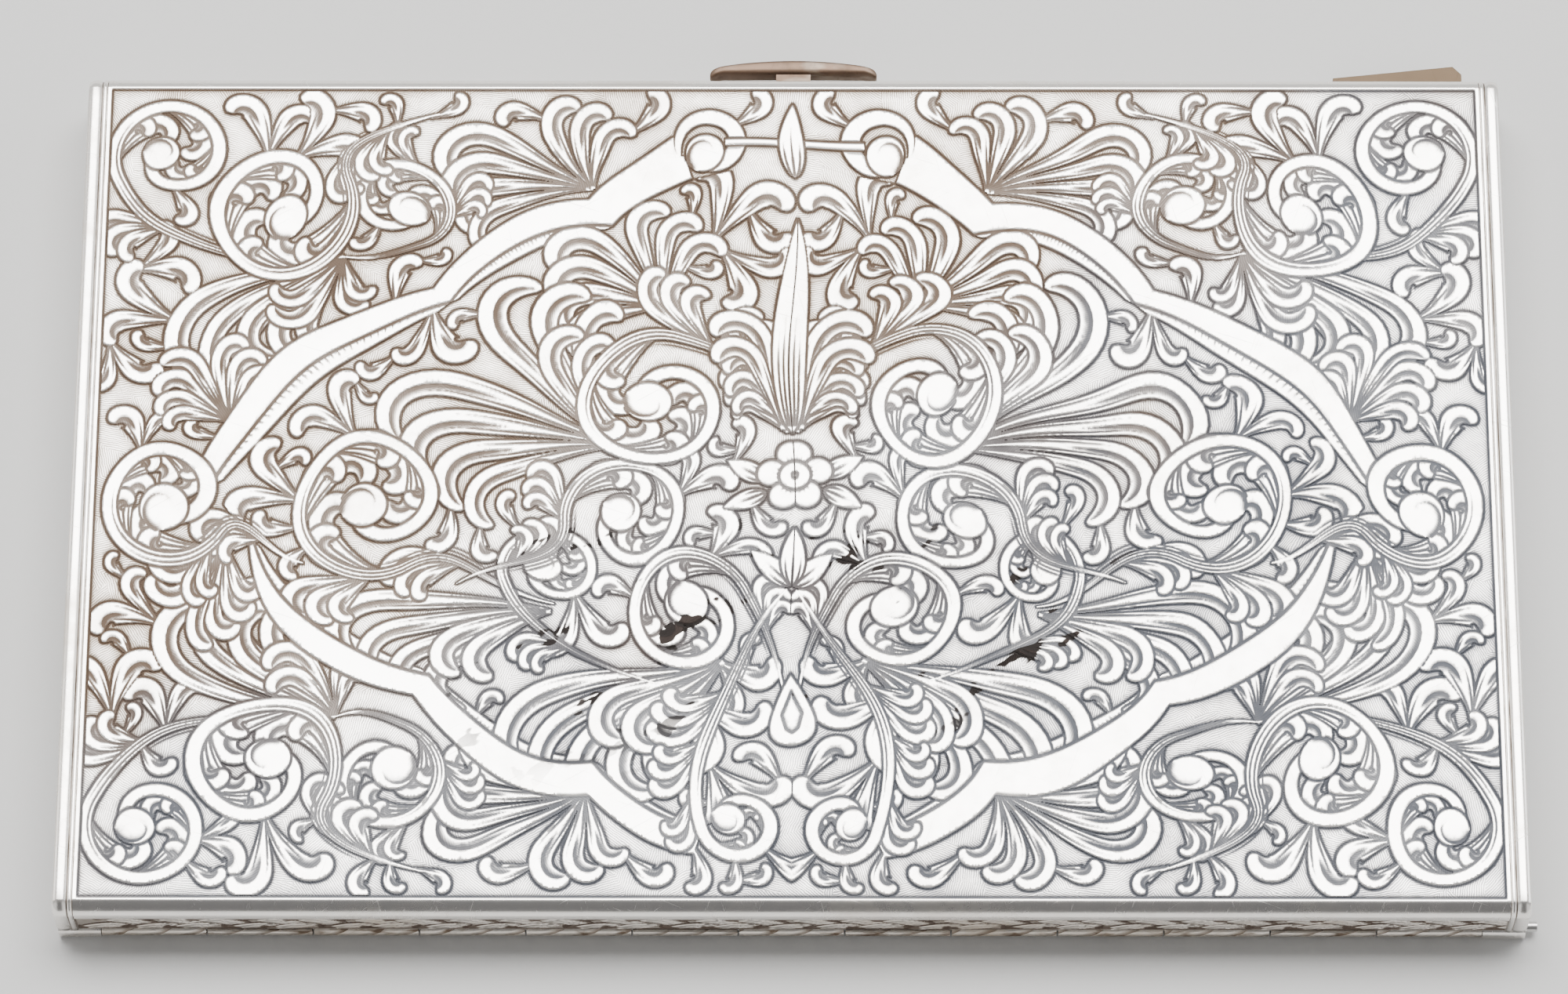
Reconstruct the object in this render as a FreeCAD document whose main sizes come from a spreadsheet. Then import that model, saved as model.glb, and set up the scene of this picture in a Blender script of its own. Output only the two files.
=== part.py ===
import FreeCAD, Part
import os
import re
import Sketcher

# Business card case: a flat engraved metal box that opens like a book along its front long side.
# Frame: millimetres, +X to the right, +Y to the rear (clasp side), +Z up.
# Origin: the middle of the underside, the flat face the closed case rests on.

Vector = FreeCAD.Vector
doc = FreeCAD.newDocument("card_case")
sheet = doc.addObject("Spreadsheet::Sheet", "Sizes")

SIZES = [
    # the closed case
    ("case_width", 98.0),          # along X, the hinge side
    ("case_depth", 61.0),          # along Y, hinge to clasp
    ("case_height", 5.8),          # along Z, closed
    # sheet metal
    ("floor_sheet", 0.6),          # bottom of the base
    ("lid_sheet", 0.6),            # top and walls of the lid
    ("strip_setback", 0.1),        # engraved strips stand in from the rolled edge
    ("roll_radius", 0.9),          # outer radius of the rolled long edges
    ("roll_drop", 1.6),            # the rolled edge ends this far under the top
    ("foot_round", 0.4),           # lower outer corners of the base
    ("parting_gap", 0.1),          # base rim to lid wall
    ("end_band_width", 1.4),       # mouldings at the two ends
    ("band_edge_round", 0.3),      # outer edge of the lid's end mouldings
    # bezel: the upright strip inside the lid wall
    ("bezel_gap", 0.2),            # bezel to lid wall
    ("bezel_sheet", 0.5),
    ("bezel_top_gap", 0.4),        # its top edge to the leaf
    # hinge
    ("barrel_radius", 0.7),
    ("barrel_table_gap", 0.1),     # barrel to the table
    ("pin_radius", 0.34),
    ("pin_running_gap", 0.03),     # radial, in the knuckles that turn
    ("pin_stand_out", 0.8),        # pin end beyond the right-hand end
    ("hinge_end_block", 2.85),     # solid block at each end of the hinge
    ("knuckle_gap", 0.12),         # slit between neighbours
    ("floor_gap", 0.1),            # barrel to the front edge of the floor
    # inner card leaf
    ("leaf_sheet", 0.35),
    ("leaf_top_gap", 0.15),        # leaf to the underside of the lid
    ("leaf_front_gap", 0.15),      # leaf flange to the lid's front strip
    ("leaf_end_gap", 1.1),         # leaf ends to the lid's end walls
    ("leaf_rear_gap", 0.35),       # leaf lug to the lid's rear strip
    ("lug_width", 4.2),
    ("lug_inset", 4.6),            # lug to the right-hand end
    ("lug_foot_gap", 0.2),         # lug above the base rim
    ("notch_gap", 0.3),            # round whatever passes a notch
    # nail tab on the leaf
    ("tab_length", 9.0),
    ("tab_inset", 2.2),            # tab to the right-hand end
    ("tab_height", 1.0),
    ("tab_stem_width", 2.4),
    ("tab_rear_gap", 0.25),        # tab to the rear face
    ("tab_reach_tip", 1.37),       # beyond the rear face at its thin end
    ("tab_reach_end", 2.27),       # and at its thick end
    ("tab_end_chamfer", 0.6),
    # clasp
    ("bar_length", 11.7),
    ("bar_thickness", 1.05),       # along Y in the middle
    ("bar_bow", 0.6),              # how far its back curves over its length
    ("bar_height", 1.6),
    ("bar_lift", 0.3),             # underside of the bar above the lid's foot
    ("bar_stand_off", 1.35),       # bar to the rear face
    ("stem_width", 2.4),
    ("stem_height", 1.0),
    ("blade_length", 10.0),
    ("blade_sheet", 0.3),
    ("blade_gap", 0.1),            # blade to the bezel at rest
    ("tooth_spread", 4.0),         # teeth either side of the middle
    ("tooth_width", 1.2),
    ("tooth_height", 0.4),
    ("tooth_bite", 0.3),           # into the lid's rear strip
    ("tooth_gap", 0.1),            # above and below, and past its tip
    ("window_gap", 0.2),           # round stem and teeth in the bezel
    ("slide_travel", 0.8),         # push of the bar
    # springs and their rivets
    ("spring_sheet", 0.2),
    ("spring_touch", 0.02),        # spring to blade
    ("spring_reach", 15.0),        # middle to the end of each foot
    ("spring_foot", 3.0),
    ("spring_flat", 7.5),          # middle to the end of the flat
    ("rivet_radius", 0.2),
    ("rivet_head_radius", 0.38),
    ("rivet_head", 0.15),
    ("wire_radius", 0.175),
    ("wire_run", 28.0),            # torsion wire along the hinge
    ("wire_bend", 0.6),            # radius at its corner
    ("wire_arm", 2.4),             # height of its upright arm
    ("wire_flange_gap", 0.06),     # arm to the leaf's flange
    ("clip_length", 1.2),
    ("clip_side", 0.2),            # metal of the clip either side of the wire
    ("clip_spread", 10.0),         # clips either side of the middle
]
KNUCKLES = 13                      # b l b i b l b l b i b l b, from the left
LID_KNUCKLES = (1, 5, 7, 11)
LEAF_KNUCKLES = (3, 9)

for row, (alias, number) in enumerate(SIZES, start=1):
    sheet.set("A%d" % row, alias.replace("_", " "))
    sheet.set("B%d" % row, "%g" % number)
    sheet.setAlias("B%d" % row, alias)
doc.recompute()

ALIASES = re.compile(r"(?<![\w.])(%s)(?!\w)" % "|".join(name for name, _ in SIZES))
nodes = {}
work = [0]


def be(text):
    """A formula over the sheet's names, in brackets, that setExpression accepts."""
    return "(" + ALIASES.sub(r"Sizes.\1", text) + ")"


def value(formula):
    return float(sheet.evalExpression(formula))


def step_name(label):
    work[0] += 1
    return "%s_step_%d" % (label, work[0])


# ---------- helpers: solids whose sizes are bound to the sheet ----------

def box(name, low, high):
    solid = doc.addObject("Part::Box", name)
    for letter, side, near, far in zip("xyz", ("Length", "Width", "Height"), low, high):
        solid.setExpression("Placement.Base." + letter, near)
        solid.setExpression(side, be("%s - %s" % (far, near)))
    return solid


def rod(name, axis, start, radius, length):
    """A cylinder from start along +X, +Y or +Z."""
    solid = doc.addObject("Part::Cylinder", name)
    turn = FreeCAD.Rotation(Vector(0, 0, 1), axis)
    solid.Placement = FreeCAD.Placement(Vector(0, 0, 0), turn)
    for letter, place in zip("xyz", start):
        solid.setExpression("Placement.Base." + letter, place)
    solid.setExpression("Radius", radius)
    solid.setExpression("Height", length)
    return solid


def join(name, pieces):
    solid = doc.addObject("Part::MultiFuse", name)
    solid.Shapes = pieces
    solid.Refine = True
    return solid


def cut(name, stock, tools):
    solid = doc.addObject("Part::Cut", name)
    solid.Base = stock
    solid.Tool = tools[0] if len(tools) == 1 else join(step_name(name), tools)
    solid.Refine = True
    return solid


def outline(body, role, offset, corners, arcs):
    """A closed sketch on one of the body's origin planes, offset along its normal.

    corners are pairs of formulas.  arcs gives, for the side that starts at a corner, the
    radius and the middle of a round side; the other sides are straight.
    """
    plane = [item for item in body.Origin.OriginFeatures if item.Role == role][0]
    sketch = body.newObject("Sketcher::SketchObject", step_name(body.Label + "_outline"))
    sketch.AttachmentSupport = [(plane, "")]
    sketch.MapMode = "FlatFace"
    sketch.setExpression("AttachmentOffset.Base.z", offset)
    places = [Vector(value(across), value(up), 0) for across, up in corners]
    ends = []
    for side, start in enumerate(places):
        finish = places[(side + 1) % len(places)]
        if side not in arcs:
            sketch.addGeometry(Part.LineSegment(start, finish), False)
            ends.append((1, 2))
            continue
        radius, middle = arcs[side]
        centre = Vector(value(middle[0]), value(middle[1]), 0)
        anticlockwise = (start - centre).cross(finish - centre).z > 0
        first, last = (start, finish) if anticlockwise else (finish, start)
        circle = Part.Circle(centre, Vector(0, 0, 1), value(radius))
        sketch.addGeometry(
            Part.ArcOfCircle(circle, circle.parameter(first), circle.parameter(last)), False)
        ends.append((1, 2) if anticlockwise else (2, 1))
    for side in range(len(places)):
        after = (side + 1) % len(places)
        sketch.addConstraint(
            Sketcher.Constraint("Coincident", side, ends[side][1], after, ends[after][0]))
    for side, (across, up) in enumerate(corners):
        for kind, formula in (("DistanceX", across), ("DistanceY", up)):
            rule = sketch.addConstraint(
                Sketcher.Constraint(kind, -1, 1, side, ends[side][0], value(formula)))
            sketch.setExpression("Constraints[%d]" % rule, formula)
    for side, (radius, _) in arcs.items():
        rule = sketch.addConstraint(Sketcher.Constraint("Radius", side, value(radius)))
        sketch.setExpression("Constraints[%d]" % rule, radius)
    return sketch


def pad(name, role, offset, length, corners, arcs=None):
    """A body with one outline padded along its plane's normal."""
    body = doc.addObject("PartDesign::Body", name)
    feature = body.newObject("PartDesign::Pad", name + "_pad")
    feature.Profile = outline(body, role, offset, corners, arcs or {})
    feature.setExpression("Length", length)
    body.Tip = feature
    return body


def round_edges(name, stock, radius, wanted):
    """Fillet the edges that wanted(edge) picks."""
    doc.recompute()
    solid = doc.addObject("Part::Fillet", name)
    solid.Base = stock
    size = value(radius)
    picked = [place for place, edge in enumerate(stock.Shape.Edges, start=1) if wanted(edge)]
    solid.Edges = [(place, size, size) for place in picked]
    return solid


def node(label, solid):
    solid.Label = label
    nodes[label] = solid


ALONG_X = Vector(1, 0, 0)
ALONG_Y = Vector(0, 1, 0)

# ---------- shared places, as formulas ----------

zero = be("0")
right = be("case_width / 2")
left = be("-case_width / 2")
front = be("-case_depth / 2")
rear = be("case_depth / 2")
top = be("case_height")
band_inner = be("case_width / 2 - end_band_width")
band_inner_left = be("end_band_width - case_width / 2")
axis_y = be("barrel_radius - case_depth / 2")
axis_z = be("barrel_table_gap + barrel_radius")
rim_top = be("barrel_table_gap + 2 * barrel_radius")
lid_foot = be("%s + parting_gap" % rim_top)
lid_under = be("case_height - lid_sheet")
roll_foot = be("case_height - roll_drop")
wall_inner_x = be("case_width / 2 - lid_sheet")
wall_inner_front = be("lid_sheet - case_depth / 2")
wall_inner_rear = be("case_depth / 2 - lid_sheet")
strip_front = be("strip_setback - case_depth / 2")
strip_rear = be("case_depth / 2 - strip_setback")
bezel_out_x = be("%s - bezel_gap" % wall_inner_x)
bezel_in_x = be("%s - bezel_sheet" % bezel_out_x)
bezel_out_y = be("%s - bezel_gap" % wall_inner_rear)
bezel_in_y = be("%s - bezel_sheet" % bezel_out_y)
leaf_top = be("%s - leaf_top_gap" % lid_under)
leaf_under = be("%s - leaf_sheet" % leaf_top)
bezel_top = be("%s - bezel_top_gap" % leaf_under)
floor_front = be("%s + barrel_radius + floor_gap" % axis_y)
floor_top = be("floor_sheet")
bar_low = be("%s + bar_lift" % lid_foot)

# ---------- base: tray, end mouldings, bezel ----------

# The tray is one sheet with a thick rim along its rear edge.
node("base_tray", pad(
    "base_tray", "YZ_Plane", band_inner_left, be("case_width - 2 * end_band_width"),
    [(floor_front, zero),
     (be("case_depth / 2 - foot_round"), zero),
     (rear, be("foot_round")),
     (rear, rim_top),
     (bezel_out_y, rim_top),
     (bezel_out_y, floor_top),
     (floor_front, floor_top)],
    {1: (be("foot_round"), (be("case_depth / 2 - foot_round"), be("foot_round")))}))

# Each end moulding carries the bezel on a ledge, and ends at the front in a hinge block whose
# upper corner is round about the pin, so that the lid turns past it.
for label, outer, inner, block in (
        ("base_end_band_left", left, band_inner_left, be("hinge_end_block - case_width / 2")),
        ("base_end_band_right", right, band_inner, be("case_width / 2 - hinge_end_block"))):
    sign = "-" if outer is left else ""
    start = outer if outer is left else inner
    block_start = outer if outer is left else block
    rail = pad(
        label + "_rail", "YZ_Plane", start, be("end_band_width"),
        [(floor_front, zero),
         (be("case_depth / 2 - foot_round"), zero),
         (rear, be("foot_round")),
         (rear, rim_top),
         (floor_front, rim_top)],
        {1: (be("foot_round"), (be("case_depth / 2 - foot_round"), be("foot_round")))})
    corner = pad(
        label + "_block", "YZ_Plane", block_start, be("hinge_end_block"),
        [(front, be("foot_round")),
         (be("foot_round - case_depth / 2"), zero),
         (floor_front, zero),
         (floor_front, rim_top),
         (axis_y, rim_top),
         (front, axis_z)],
        {0: (be("foot_round"), (be("foot_round - case_depth / 2"), be("foot_round"))),
         4: (be("barrel_radius"), (axis_y, axis_z))})
    ledge_outer = be(sign + bezel_out_x)
    ledge_ends = (ledge_outer, be("%s + end_band_width" % left)) if sign else (inner, ledge_outer)
    ledge = box(label + "_ledge", (ledge_ends[0], floor_front, floor_top),
                (ledge_ends[1], bezel_out_y, be("%s + 1" % rim_top)))
    bore = rod(label + "_bore", ALONG_X, (block_start, axis_y, axis_z),
               be("pin_radius"), be("hinge_end_block"))
    node(label, cut(label, join(label + "_stock", [rail, corner]), [ledge, bore]))

# The bezel runs round the rear and both ends; the stem, the teeth, the leaf's lug and the
# spring's rivets pass through it.
stem_low = be("%s + (bar_height - stem_height) / 2" % bar_low)
stem_high = be("%s + stem_height" % stem_low)
tooth_low = be("%s + (bar_height - tooth_height) / 2" % bar_low)
tooth_high = be("%s + tooth_height" % tooth_low)
lug_right = be("case_width / 2 - lug_inset")
lug_left = be("%s - lug_width" % lug_right)
lug_foot = be("%s + lug_foot_gap" % rim_top)
rivet_x = be("spring_reach - spring_foot / 2")
rivet_z = be("%s + bar_height / 2" % bar_low)

bezel = join("bezel_strip", [
    box("bezel_rear", (be("-" + bezel_out_x), bezel_in_y, floor_top),
        (bezel_out_x, bezel_out_y, bezel_top)),
    box("bezel_left", (be("-" + bezel_out_x), floor_front, floor_top),
        (be("-" + bezel_in_x), bezel_in_y, bezel_top)),
    box("bezel_right", (bezel_in_x, floor_front, floor_top),
        (bezel_out_x, bezel_in_y, bezel_top))])
openings = [
    box("bezel_stem_window",
        (be("-stem_width / 2 - window_gap"), bezel_in_y, be("%s - window_gap" % stem_low)),
        (be("stem_width / 2 + window_gap"), bezel_out_y, be("%s + window_gap" % stem_high))),
    box("bezel_lug_notch",
        (be("%s - notch_gap" % lug_left), bezel_in_y, rim_top),
        (be("%s + notch_gap" % lug_right), bezel_out_y, be("%s + 1" % bezel_top)))]
for side in ("-", ""):
    middle = be("%stooth_spread" % side)
    openings.append(box(
        step_name("bezel_tooth_window"),
        (be("%s - tooth_width / 2 - window_gap" % middle), bezel_in_y,
         be("%s - window_gap" % tooth_low)),
        (be("%s + tooth_width / 2 + window_gap" % middle), bezel_out_y,
         be("%s + window_gap" % tooth_high))))
    openings.append(rod(
        step_name("bezel_rivet_hole"), ALONG_Y, (be(side + rivet_x), bezel_in_y, rivet_z),
        be("rivet_radius"), be("bezel_sheet")))
node("base_bezel", cut("base_bezel", bezel, openings))

# ---------- hinge ----------

pitch = be("(case_width - 2 * hinge_end_block) / %d" % KNUCKLES)
knuckle_length = be("%s - knuckle_gap" % pitch)


def knuckle(label, place, bore_radius, web_low, web_high):
    """A tube on the hinge axis with a web that meets the piece that carries it."""
    start = be("hinge_end_block - case_width / 2 + %d * %s + knuckle_gap / 2" % (place, pitch))
    finish = be("%s + %s" % (start, knuckle_length))
    tube = rod(label + "_tube", ALONG_X, (start, axis_y, axis_z),
               be("barrel_radius"), knuckle_length)
    web = box(label + "_web", (start,) + web_low, (finish,) + web_high)
    bore = rod(label + "_bore", ALONG_X, (start, axis_y, axis_z), bore_radius, knuckle_length)
    node(label, cut(label, join(label + "_stock", [tube, web]), [bore]))


base_places = [place for place in range(KNUCKLES)
               if place not in LID_KNUCKLES and place not in LEAF_KNUCKLES]
for count, place in enumerate(base_places, start=1):
    knuckle("base_knuckle_%d" % count, place, be("pin_radius"),
            (axis_y, zero), (floor_front, floor_top))
turning_bore = be("pin_radius + pin_running_gap")
for count, place in enumerate(LID_KNUCKLES, start=1):
    knuckle("lid_knuckle_%d" % count, place, turning_bore,
            (strip_front, axis_z), (wall_inner_front, lid_foot))
flange_front = be("%s + leaf_front_gap" % wall_inner_front)
flange_rear = be("%s + leaf_sheet" % flange_front)
for count, place in enumerate(LEAF_KNUCKLES, start=1):
    knuckle("leaf_knuckle_%d" % count, place, turning_bore,
            (flange_front, axis_z), (flange_rear, lid_foot))

node("hinge_pin", rod("hinge_pin", ALONG_X, (left, axis_y, axis_z),
                      be("pin_radius"), be("case_width + pin_stand_out")))

# ---------- lid ----------

# The cover is the top sheet with both long edges rolled down.
roll_in = be("roll_radius - lid_sheet")
roll_front = (be("roll_radius - case_depth / 2"), be("case_height - roll_radius"))
roll_rear = (be("case_depth / 2 - roll_radius"), be("case_height - roll_radius"))
node("lid_cover", pad(
    "lid_cover", "YZ_Plane", band_inner_left, be("case_width - 2 * end_band_width"),
    [(front, roll_foot),
     (front, roll_front[1]),
     (roll_front[0], top),
     (roll_rear[0], top),
     (rear, roll_rear[1]),
     (rear, roll_foot),
     (wall_inner_rear, roll_foot),
     (wall_inner_rear, roll_rear[1]),
     (roll_rear[0], lid_under),
     (roll_front[0], lid_under),
     (wall_inner_front, roll_front[1]),
     (wall_inner_front, roll_foot)],
    {1: (be("roll_radius"), roll_front),
     3: (be("roll_radius"), roll_rear),
     7: (roll_in, roll_rear),
     9: (roll_in, roll_front)}))

node("lid_front_strip", box("lid_front_strip", (band_inner_left, strip_front, lid_foot),
                            (band_inner, wall_inner_front, roll_foot)))

# The rear strip has open notches for the clasp's stem and the tab's stem, and two blind
# pockets inside that the clasp's teeth catch in.
tab_stem_left = be("(%s + %s) / 2 - tab_stem_width / 2" % (lug_left, lug_right))
tab_stem_right = be("%s + tab_stem_width" % tab_stem_left)
tab_low = lid_foot
tab_high = be("%s + tab_height" % tab_low)
tab_stem_low = be("%s + 0.15 * tab_height" % tab_low)
tab_stem_high = be("%s - 0.15 * tab_height" % tab_high)
rear_cuts = [
    box("rear_stem_notch",
        (be("-stem_width / 2 - notch_gap / 2"), wall_inner_rear, be("%s - 1" % lid_foot)),
        (be("stem_width / 2 + notch_gap / 2"), strip_rear, be("%s + notch_gap" % stem_high))),
    box("rear_tab_notch",
        (be("%s - notch_gap" % tab_stem_left), wall_inner_rear, be("%s - 1" % lid_foot)),
        (be("%s + notch_gap" % tab_stem_right), strip_rear,
         be("%s + notch_gap" % tab_stem_high)))]
for side in ("-", ""):
    middle = be("%stooth_spread" % side)
    rear_cuts.append(box(
        step_name("rear_pocket"),
        (be("%s - tooth_width / 2 - tooth_gap" % middle), wall_inner_rear,
         be("%s - tooth_gap" % tooth_low)),
        (be("%s + tooth_width / 2 + tooth_gap" % middle),
         be("%s + tooth_bite + tooth_gap / 2" % wall_inner_rear),
         be("%s + tooth_gap" % tooth_high))))
rear_stock = box("lid_rear_strip_stock", (band_inner_left, wall_inner_rear, lid_foot),
                 (band_inner, strip_rear, roll_foot))
node("lid_rear_strip", cut("lid_rear_strip", rear_stock, rear_cuts))

# Each end moulding is the whole end wall with a wide moulded top.
for label, start, hollow in (
        ("lid_end_band_left", left, be("lid_sheet - case_width / 2")),
        ("lid_end_band_right", band_inner, band_inner)):
    solid = pad(
        label + "_solid", "YZ_Plane", start, be("end_band_width"),
        [(front, lid_foot),
         (front, roll_front[1]),
         (roll_front[0], top),
         (roll_rear[0], top),
         (rear, roll_rear[1]),
         (rear, lid_foot)],
        {1: (be("roll_radius"), roll_front),
         3: (be("roll_radius"), roll_rear)})
    inside = pad(
        label + "_inside", "YZ_Plane", hollow, be("end_band_width - lid_sheet"),
        [(wall_inner_front, be("%s - 1" % lid_foot)),
         (wall_inner_front, roll_front[1]),
         (roll_front[0], lid_under),
         (roll_rear[0], lid_under),
         (wall_inner_rear, roll_rear[1]),
         (wall_inner_rear, be("%s - 1" % lid_foot))],
        {1: (roll_in, roll_front),
         3: (roll_in, roll_rear)})
    stock = cut(label + "_stock", solid, [inside])
    outer = value(left if start is left else right)
    lowest = value(lid_foot)

    def on_outer_edge(edge):
        box_of = edge.BoundBox
        flat = abs(box_of.XMin - outer) < 1e-6 and abs(box_of.XMax - outer) < 1e-6
        return flat and box_of.ZMax > lowest + 1e-6

    node(label, round_edges(label, stock, be("band_edge_round"), on_outer_edge))

# ---------- inner leaf that holds the cards ----------

leaf_end = be("%s - leaf_end_gap" % wall_inner_x)
leaf_rear = be("%s - leaf_rear_gap" % wall_inner_rear)
lug_front = be("%s - leaf_sheet" % leaf_rear)
leaf_plate = pad(
    "leaf_plate", "YZ_Plane", be("-" + leaf_end), be("2 * " + leaf_end),
    [(flange_front, lid_foot),
     (flange_rear, lid_foot),
     (flange_rear, leaf_under),
     (leaf_rear, leaf_under),
     (leaf_rear, leaf_top),
     (flange_front, leaf_top)])
lug = box("leaf_lug", (lug_left, lug_front, lug_foot), (lug_right, leaf_rear, leaf_under))
node("card_leaf", join("card_leaf", [leaf_plate, lug]))

# The nail tab is a wedge behind the rear face, on a stem that meets the lug.
tab_right = be("case_width / 2 - tab_inset")
tab_left = be("%s - tab_length" % tab_right)
tab_front = be("case_depth / 2 + tab_rear_gap")
wedge = pad(
    "tab_wedge", "XY_Plane", tab_low, be("tab_height"),
    [(tab_left, tab_front),
     (tab_right, tab_front),
     (tab_right, be("case_depth / 2 + tab_reach_end - tab_end_chamfer")),
     (be("%s - tab_end_chamfer" % tab_right), be("case_depth / 2 + tab_reach_end")),
     (tab_left, be("case_depth / 2 + tab_reach_tip"))])
tab_stem = box("tab_stem", (tab_stem_left, leaf_rear, tab_stem_low),
               (tab_stem_right, be("%s + 0.3" % tab_front), tab_stem_high))
node("leaf_tab", join("leaf_tab", [wedge, tab_stem]))

# ---------- clasp: bar, stem and toothed blade slide together ----------

bar_front = be("case_depth / 2 + bar_stand_off")
bar_back = be("%s + bar_thickness" % bar_front)
bow_radius = be("(bar_length * bar_length / 4 + bar_bow * bar_bow) / (2 * bar_bow)")
bar_ends_y = be("%s - bar_bow" % bar_back)
node("push_bar", pad(
    "push_bar", "XY_Plane", bar_low, be("bar_height"),
    [(be("-bar_length / 2"), bar_front),
     (be("bar_length / 2"), bar_front),
     (be("bar_length / 2"), bar_ends_y),
     (be("-bar_length / 2"), bar_ends_y)],
    {2: (bow_radius, (zero, be("%s - %s" % (bar_back, bow_radius))))}))

blade_rear = be("%s - blade_gap" % bezel_in_y)
blade_front = be("%s - blade_sheet" % blade_rear)
node("push_stem", box("push_stem", (be("-stem_width / 2"), blade_rear, stem_low),
                      (be("stem_width / 2"), bar_front, stem_high)))
blade_parts = [box("blade_strip", (be("-blade_length / 2"), blade_front, stem_low),
                   (be("blade_length / 2"), blade_rear, stem_high))]
for side in ("-", ""):
    middle = be("%stooth_spread" % side)
    blade_parts.append(box(
        step_name("blade_tooth"),
        (be("%s - tooth_width / 2" % middle), blade_rear, tooth_low),
        (be("%s + tooth_width / 2" % middle), be("%s + tooth_bite" % wall_inner_rear),
         tooth_high)))
node("latch_blade", join("latch_blade", blade_parts))

# ---------- springs and what holds them ----------

# The clasp's spring is a flat strip: riveted feet on the bezel, bowed round the blade.
spring_rear = be("%s - spring_touch" % blade_front)
spring_front = be("%s - spring_sheet" % spring_rear)
foot_front = be("%s - spring_sheet" % bezel_in_y)
foot_inner = be("spring_reach - spring_foot")
strip = pad(
    "spring_strip", "XY_Plane", stem_low, be("stem_height"),
    [(be("-spring_reach"), bezel_in_y),
     (be("-spring_reach"), foot_front),
     (be("-" + foot_inner), foot_front),
     (be("-spring_flat"), spring_front),
     (be("spring_flat"), spring_front),
     (foot_inner, foot_front),
     (be("spring_reach"), foot_front),
     (be("spring_reach"), bezel_in_y),
     (foot_inner, bezel_in_y),
     (be("spring_flat"), spring_rear),
     (be("-spring_flat"), spring_rear),
     (be("-" + foot_inner), bezel_in_y)])
holes = []
rivets = []
for side in ("-", ""):
    across = be(side + rivet_x)
    holes.append(rod(step_name("spring_rivet_hole"), ALONG_Y, (across, foot_front, rivet_z),
                     be("rivet_radius"), be("spring_sheet")))
    rivets.append(join(step_name("latch_rivet"), [
        rod(step_name("rivet_head"), ALONG_Y,
            (across, be("%s - rivet_head" % foot_front), rivet_z),
            be("rivet_head_radius"), be("rivet_head")),
        rod(step_name("rivet_shank"), ALONG_Y, (across, foot_front, rivet_z),
            be("rivet_radius"), be("spring_sheet + bezel_sheet"))]))
node("latch_spring", cut("latch_spring", strip, holes))
group = doc.addObject("Part::Compound", "latch_rivets")
group.Links = rivets
node("latch_rivets", group)

# The leaf's spring is a torsion wire on the floor along the hinge, held by two staple-shaped
# clips; its upright arm leans on the leaf's flange.
wire_y = be("%s + clip_side + wire_radius" % floor_front)
wire_z = be("floor_sheet + wire_radius")
doc.recompute()
radius = value(be("wire_radius"))
corner_x = value(be("wire_run / 2"))
run_start = Vector(-corner_x, value(wire_y), value(wire_z))
bend_at = Vector(corner_x, value(wire_y), value(wire_z))
arm_y = value(be("%s + wire_flange_gap + wire_radius" % flange_rear))
arm_top = Vector(corner_x, arm_y, value(wire_z) + value(be("wire_arm")))
upward = (arm_top - bend_at).normalize()
bend = value(be("wire_bend"))
leave = bend_at - ALONG_X * bend
enter = bend_at + upward * bend
middle = bend_at + (upward - ALONG_X) * bend
halfway = middle - (upward - ALONG_X).normalize() * bend
path = Part.Wire([Part.LineSegment(run_start, leave).toShape(),
                  Part.Arc(leave, halfway, enter).toShape(),
                  Part.LineSegment(enter, arm_top).toShape()])
ring = Part.Wire([Part.Circle(run_start, ALONG_X, radius).toShape()])
wire = doc.addObject("Part::Feature", "leaf_spring")
wire.Shape = path.makePipeShell([ring], True, False)
node("leaf_spring", wire)

clips = []
for side in ("-", ""):
    middle_x = be("%sclip_spread" % side)
    start = be("%s - clip_length / 2" % middle_x)
    clip = box(step_name("clip"),
               (start, be("%s - wire_radius - clip_side" % wire_y), floor_top),
               (be("%s + clip_length" % start), be("%s + wire_radius + clip_side" % wire_y),
                be("%s + wire_radius + clip_side" % wire_z)))
    channel = rod(step_name("clip_channel"), ALONG_X, (start, wire_y, wire_z),
                  be("wire_radius"), be("clip_length"))
    mouth = box(step_name("clip_mouth"), (start, be("%s - wire_radius" % wire_y), zero),
                (be("%s + clip_length" % start), be("%s + wire_radius" % wire_y), wire_z))
    clips.append(cut(step_name("clip_cut"), clip, [channel, mouth]))
group = doc.addObject("Part::Compound", "spring_clips")
group.Links = clips
node("spring_clips", group)

# ---------- check everything, then write one file per piece ----------

doc.recompute()
for item in doc.Objects:
    bad = [state for state in item.State if state in ("Invalid", "Error")]
    if bad:
        raise RuntimeError("%s did not build: %s" % (item.Name, bad))
for label, solid in nodes.items():
    if solid.Shape.isNull() or not solid.Shape.isValid() or solid.Shape.Volume <= 0:
        raise RuntimeError("%s has no sound shape" % label)

os.makedirs("parts", exist_ok=True)
for label, solid in nodes.items():
    solid.Shape.exportStep("parts/%s.step" % label)
    edge = solid.Shape.BoundBox
    print("%-22s solids %d volume %9.3f  x %7.2f %7.2f  y %7.2f %7.2f  z %6.2f %6.2f" % (
        label, len(solid.Shape.Solids), solid.Shape.Volume,
        edge.XMin, edge.XMax, edge.YMin, edge.YMax, edge.ZMin, edge.ZMax))
print("%d pieces" % len(nodes))
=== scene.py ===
from math import cos, pi, radians, sin

import bpy
import numpy as np
from mathutils import Matrix, Vector


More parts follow.
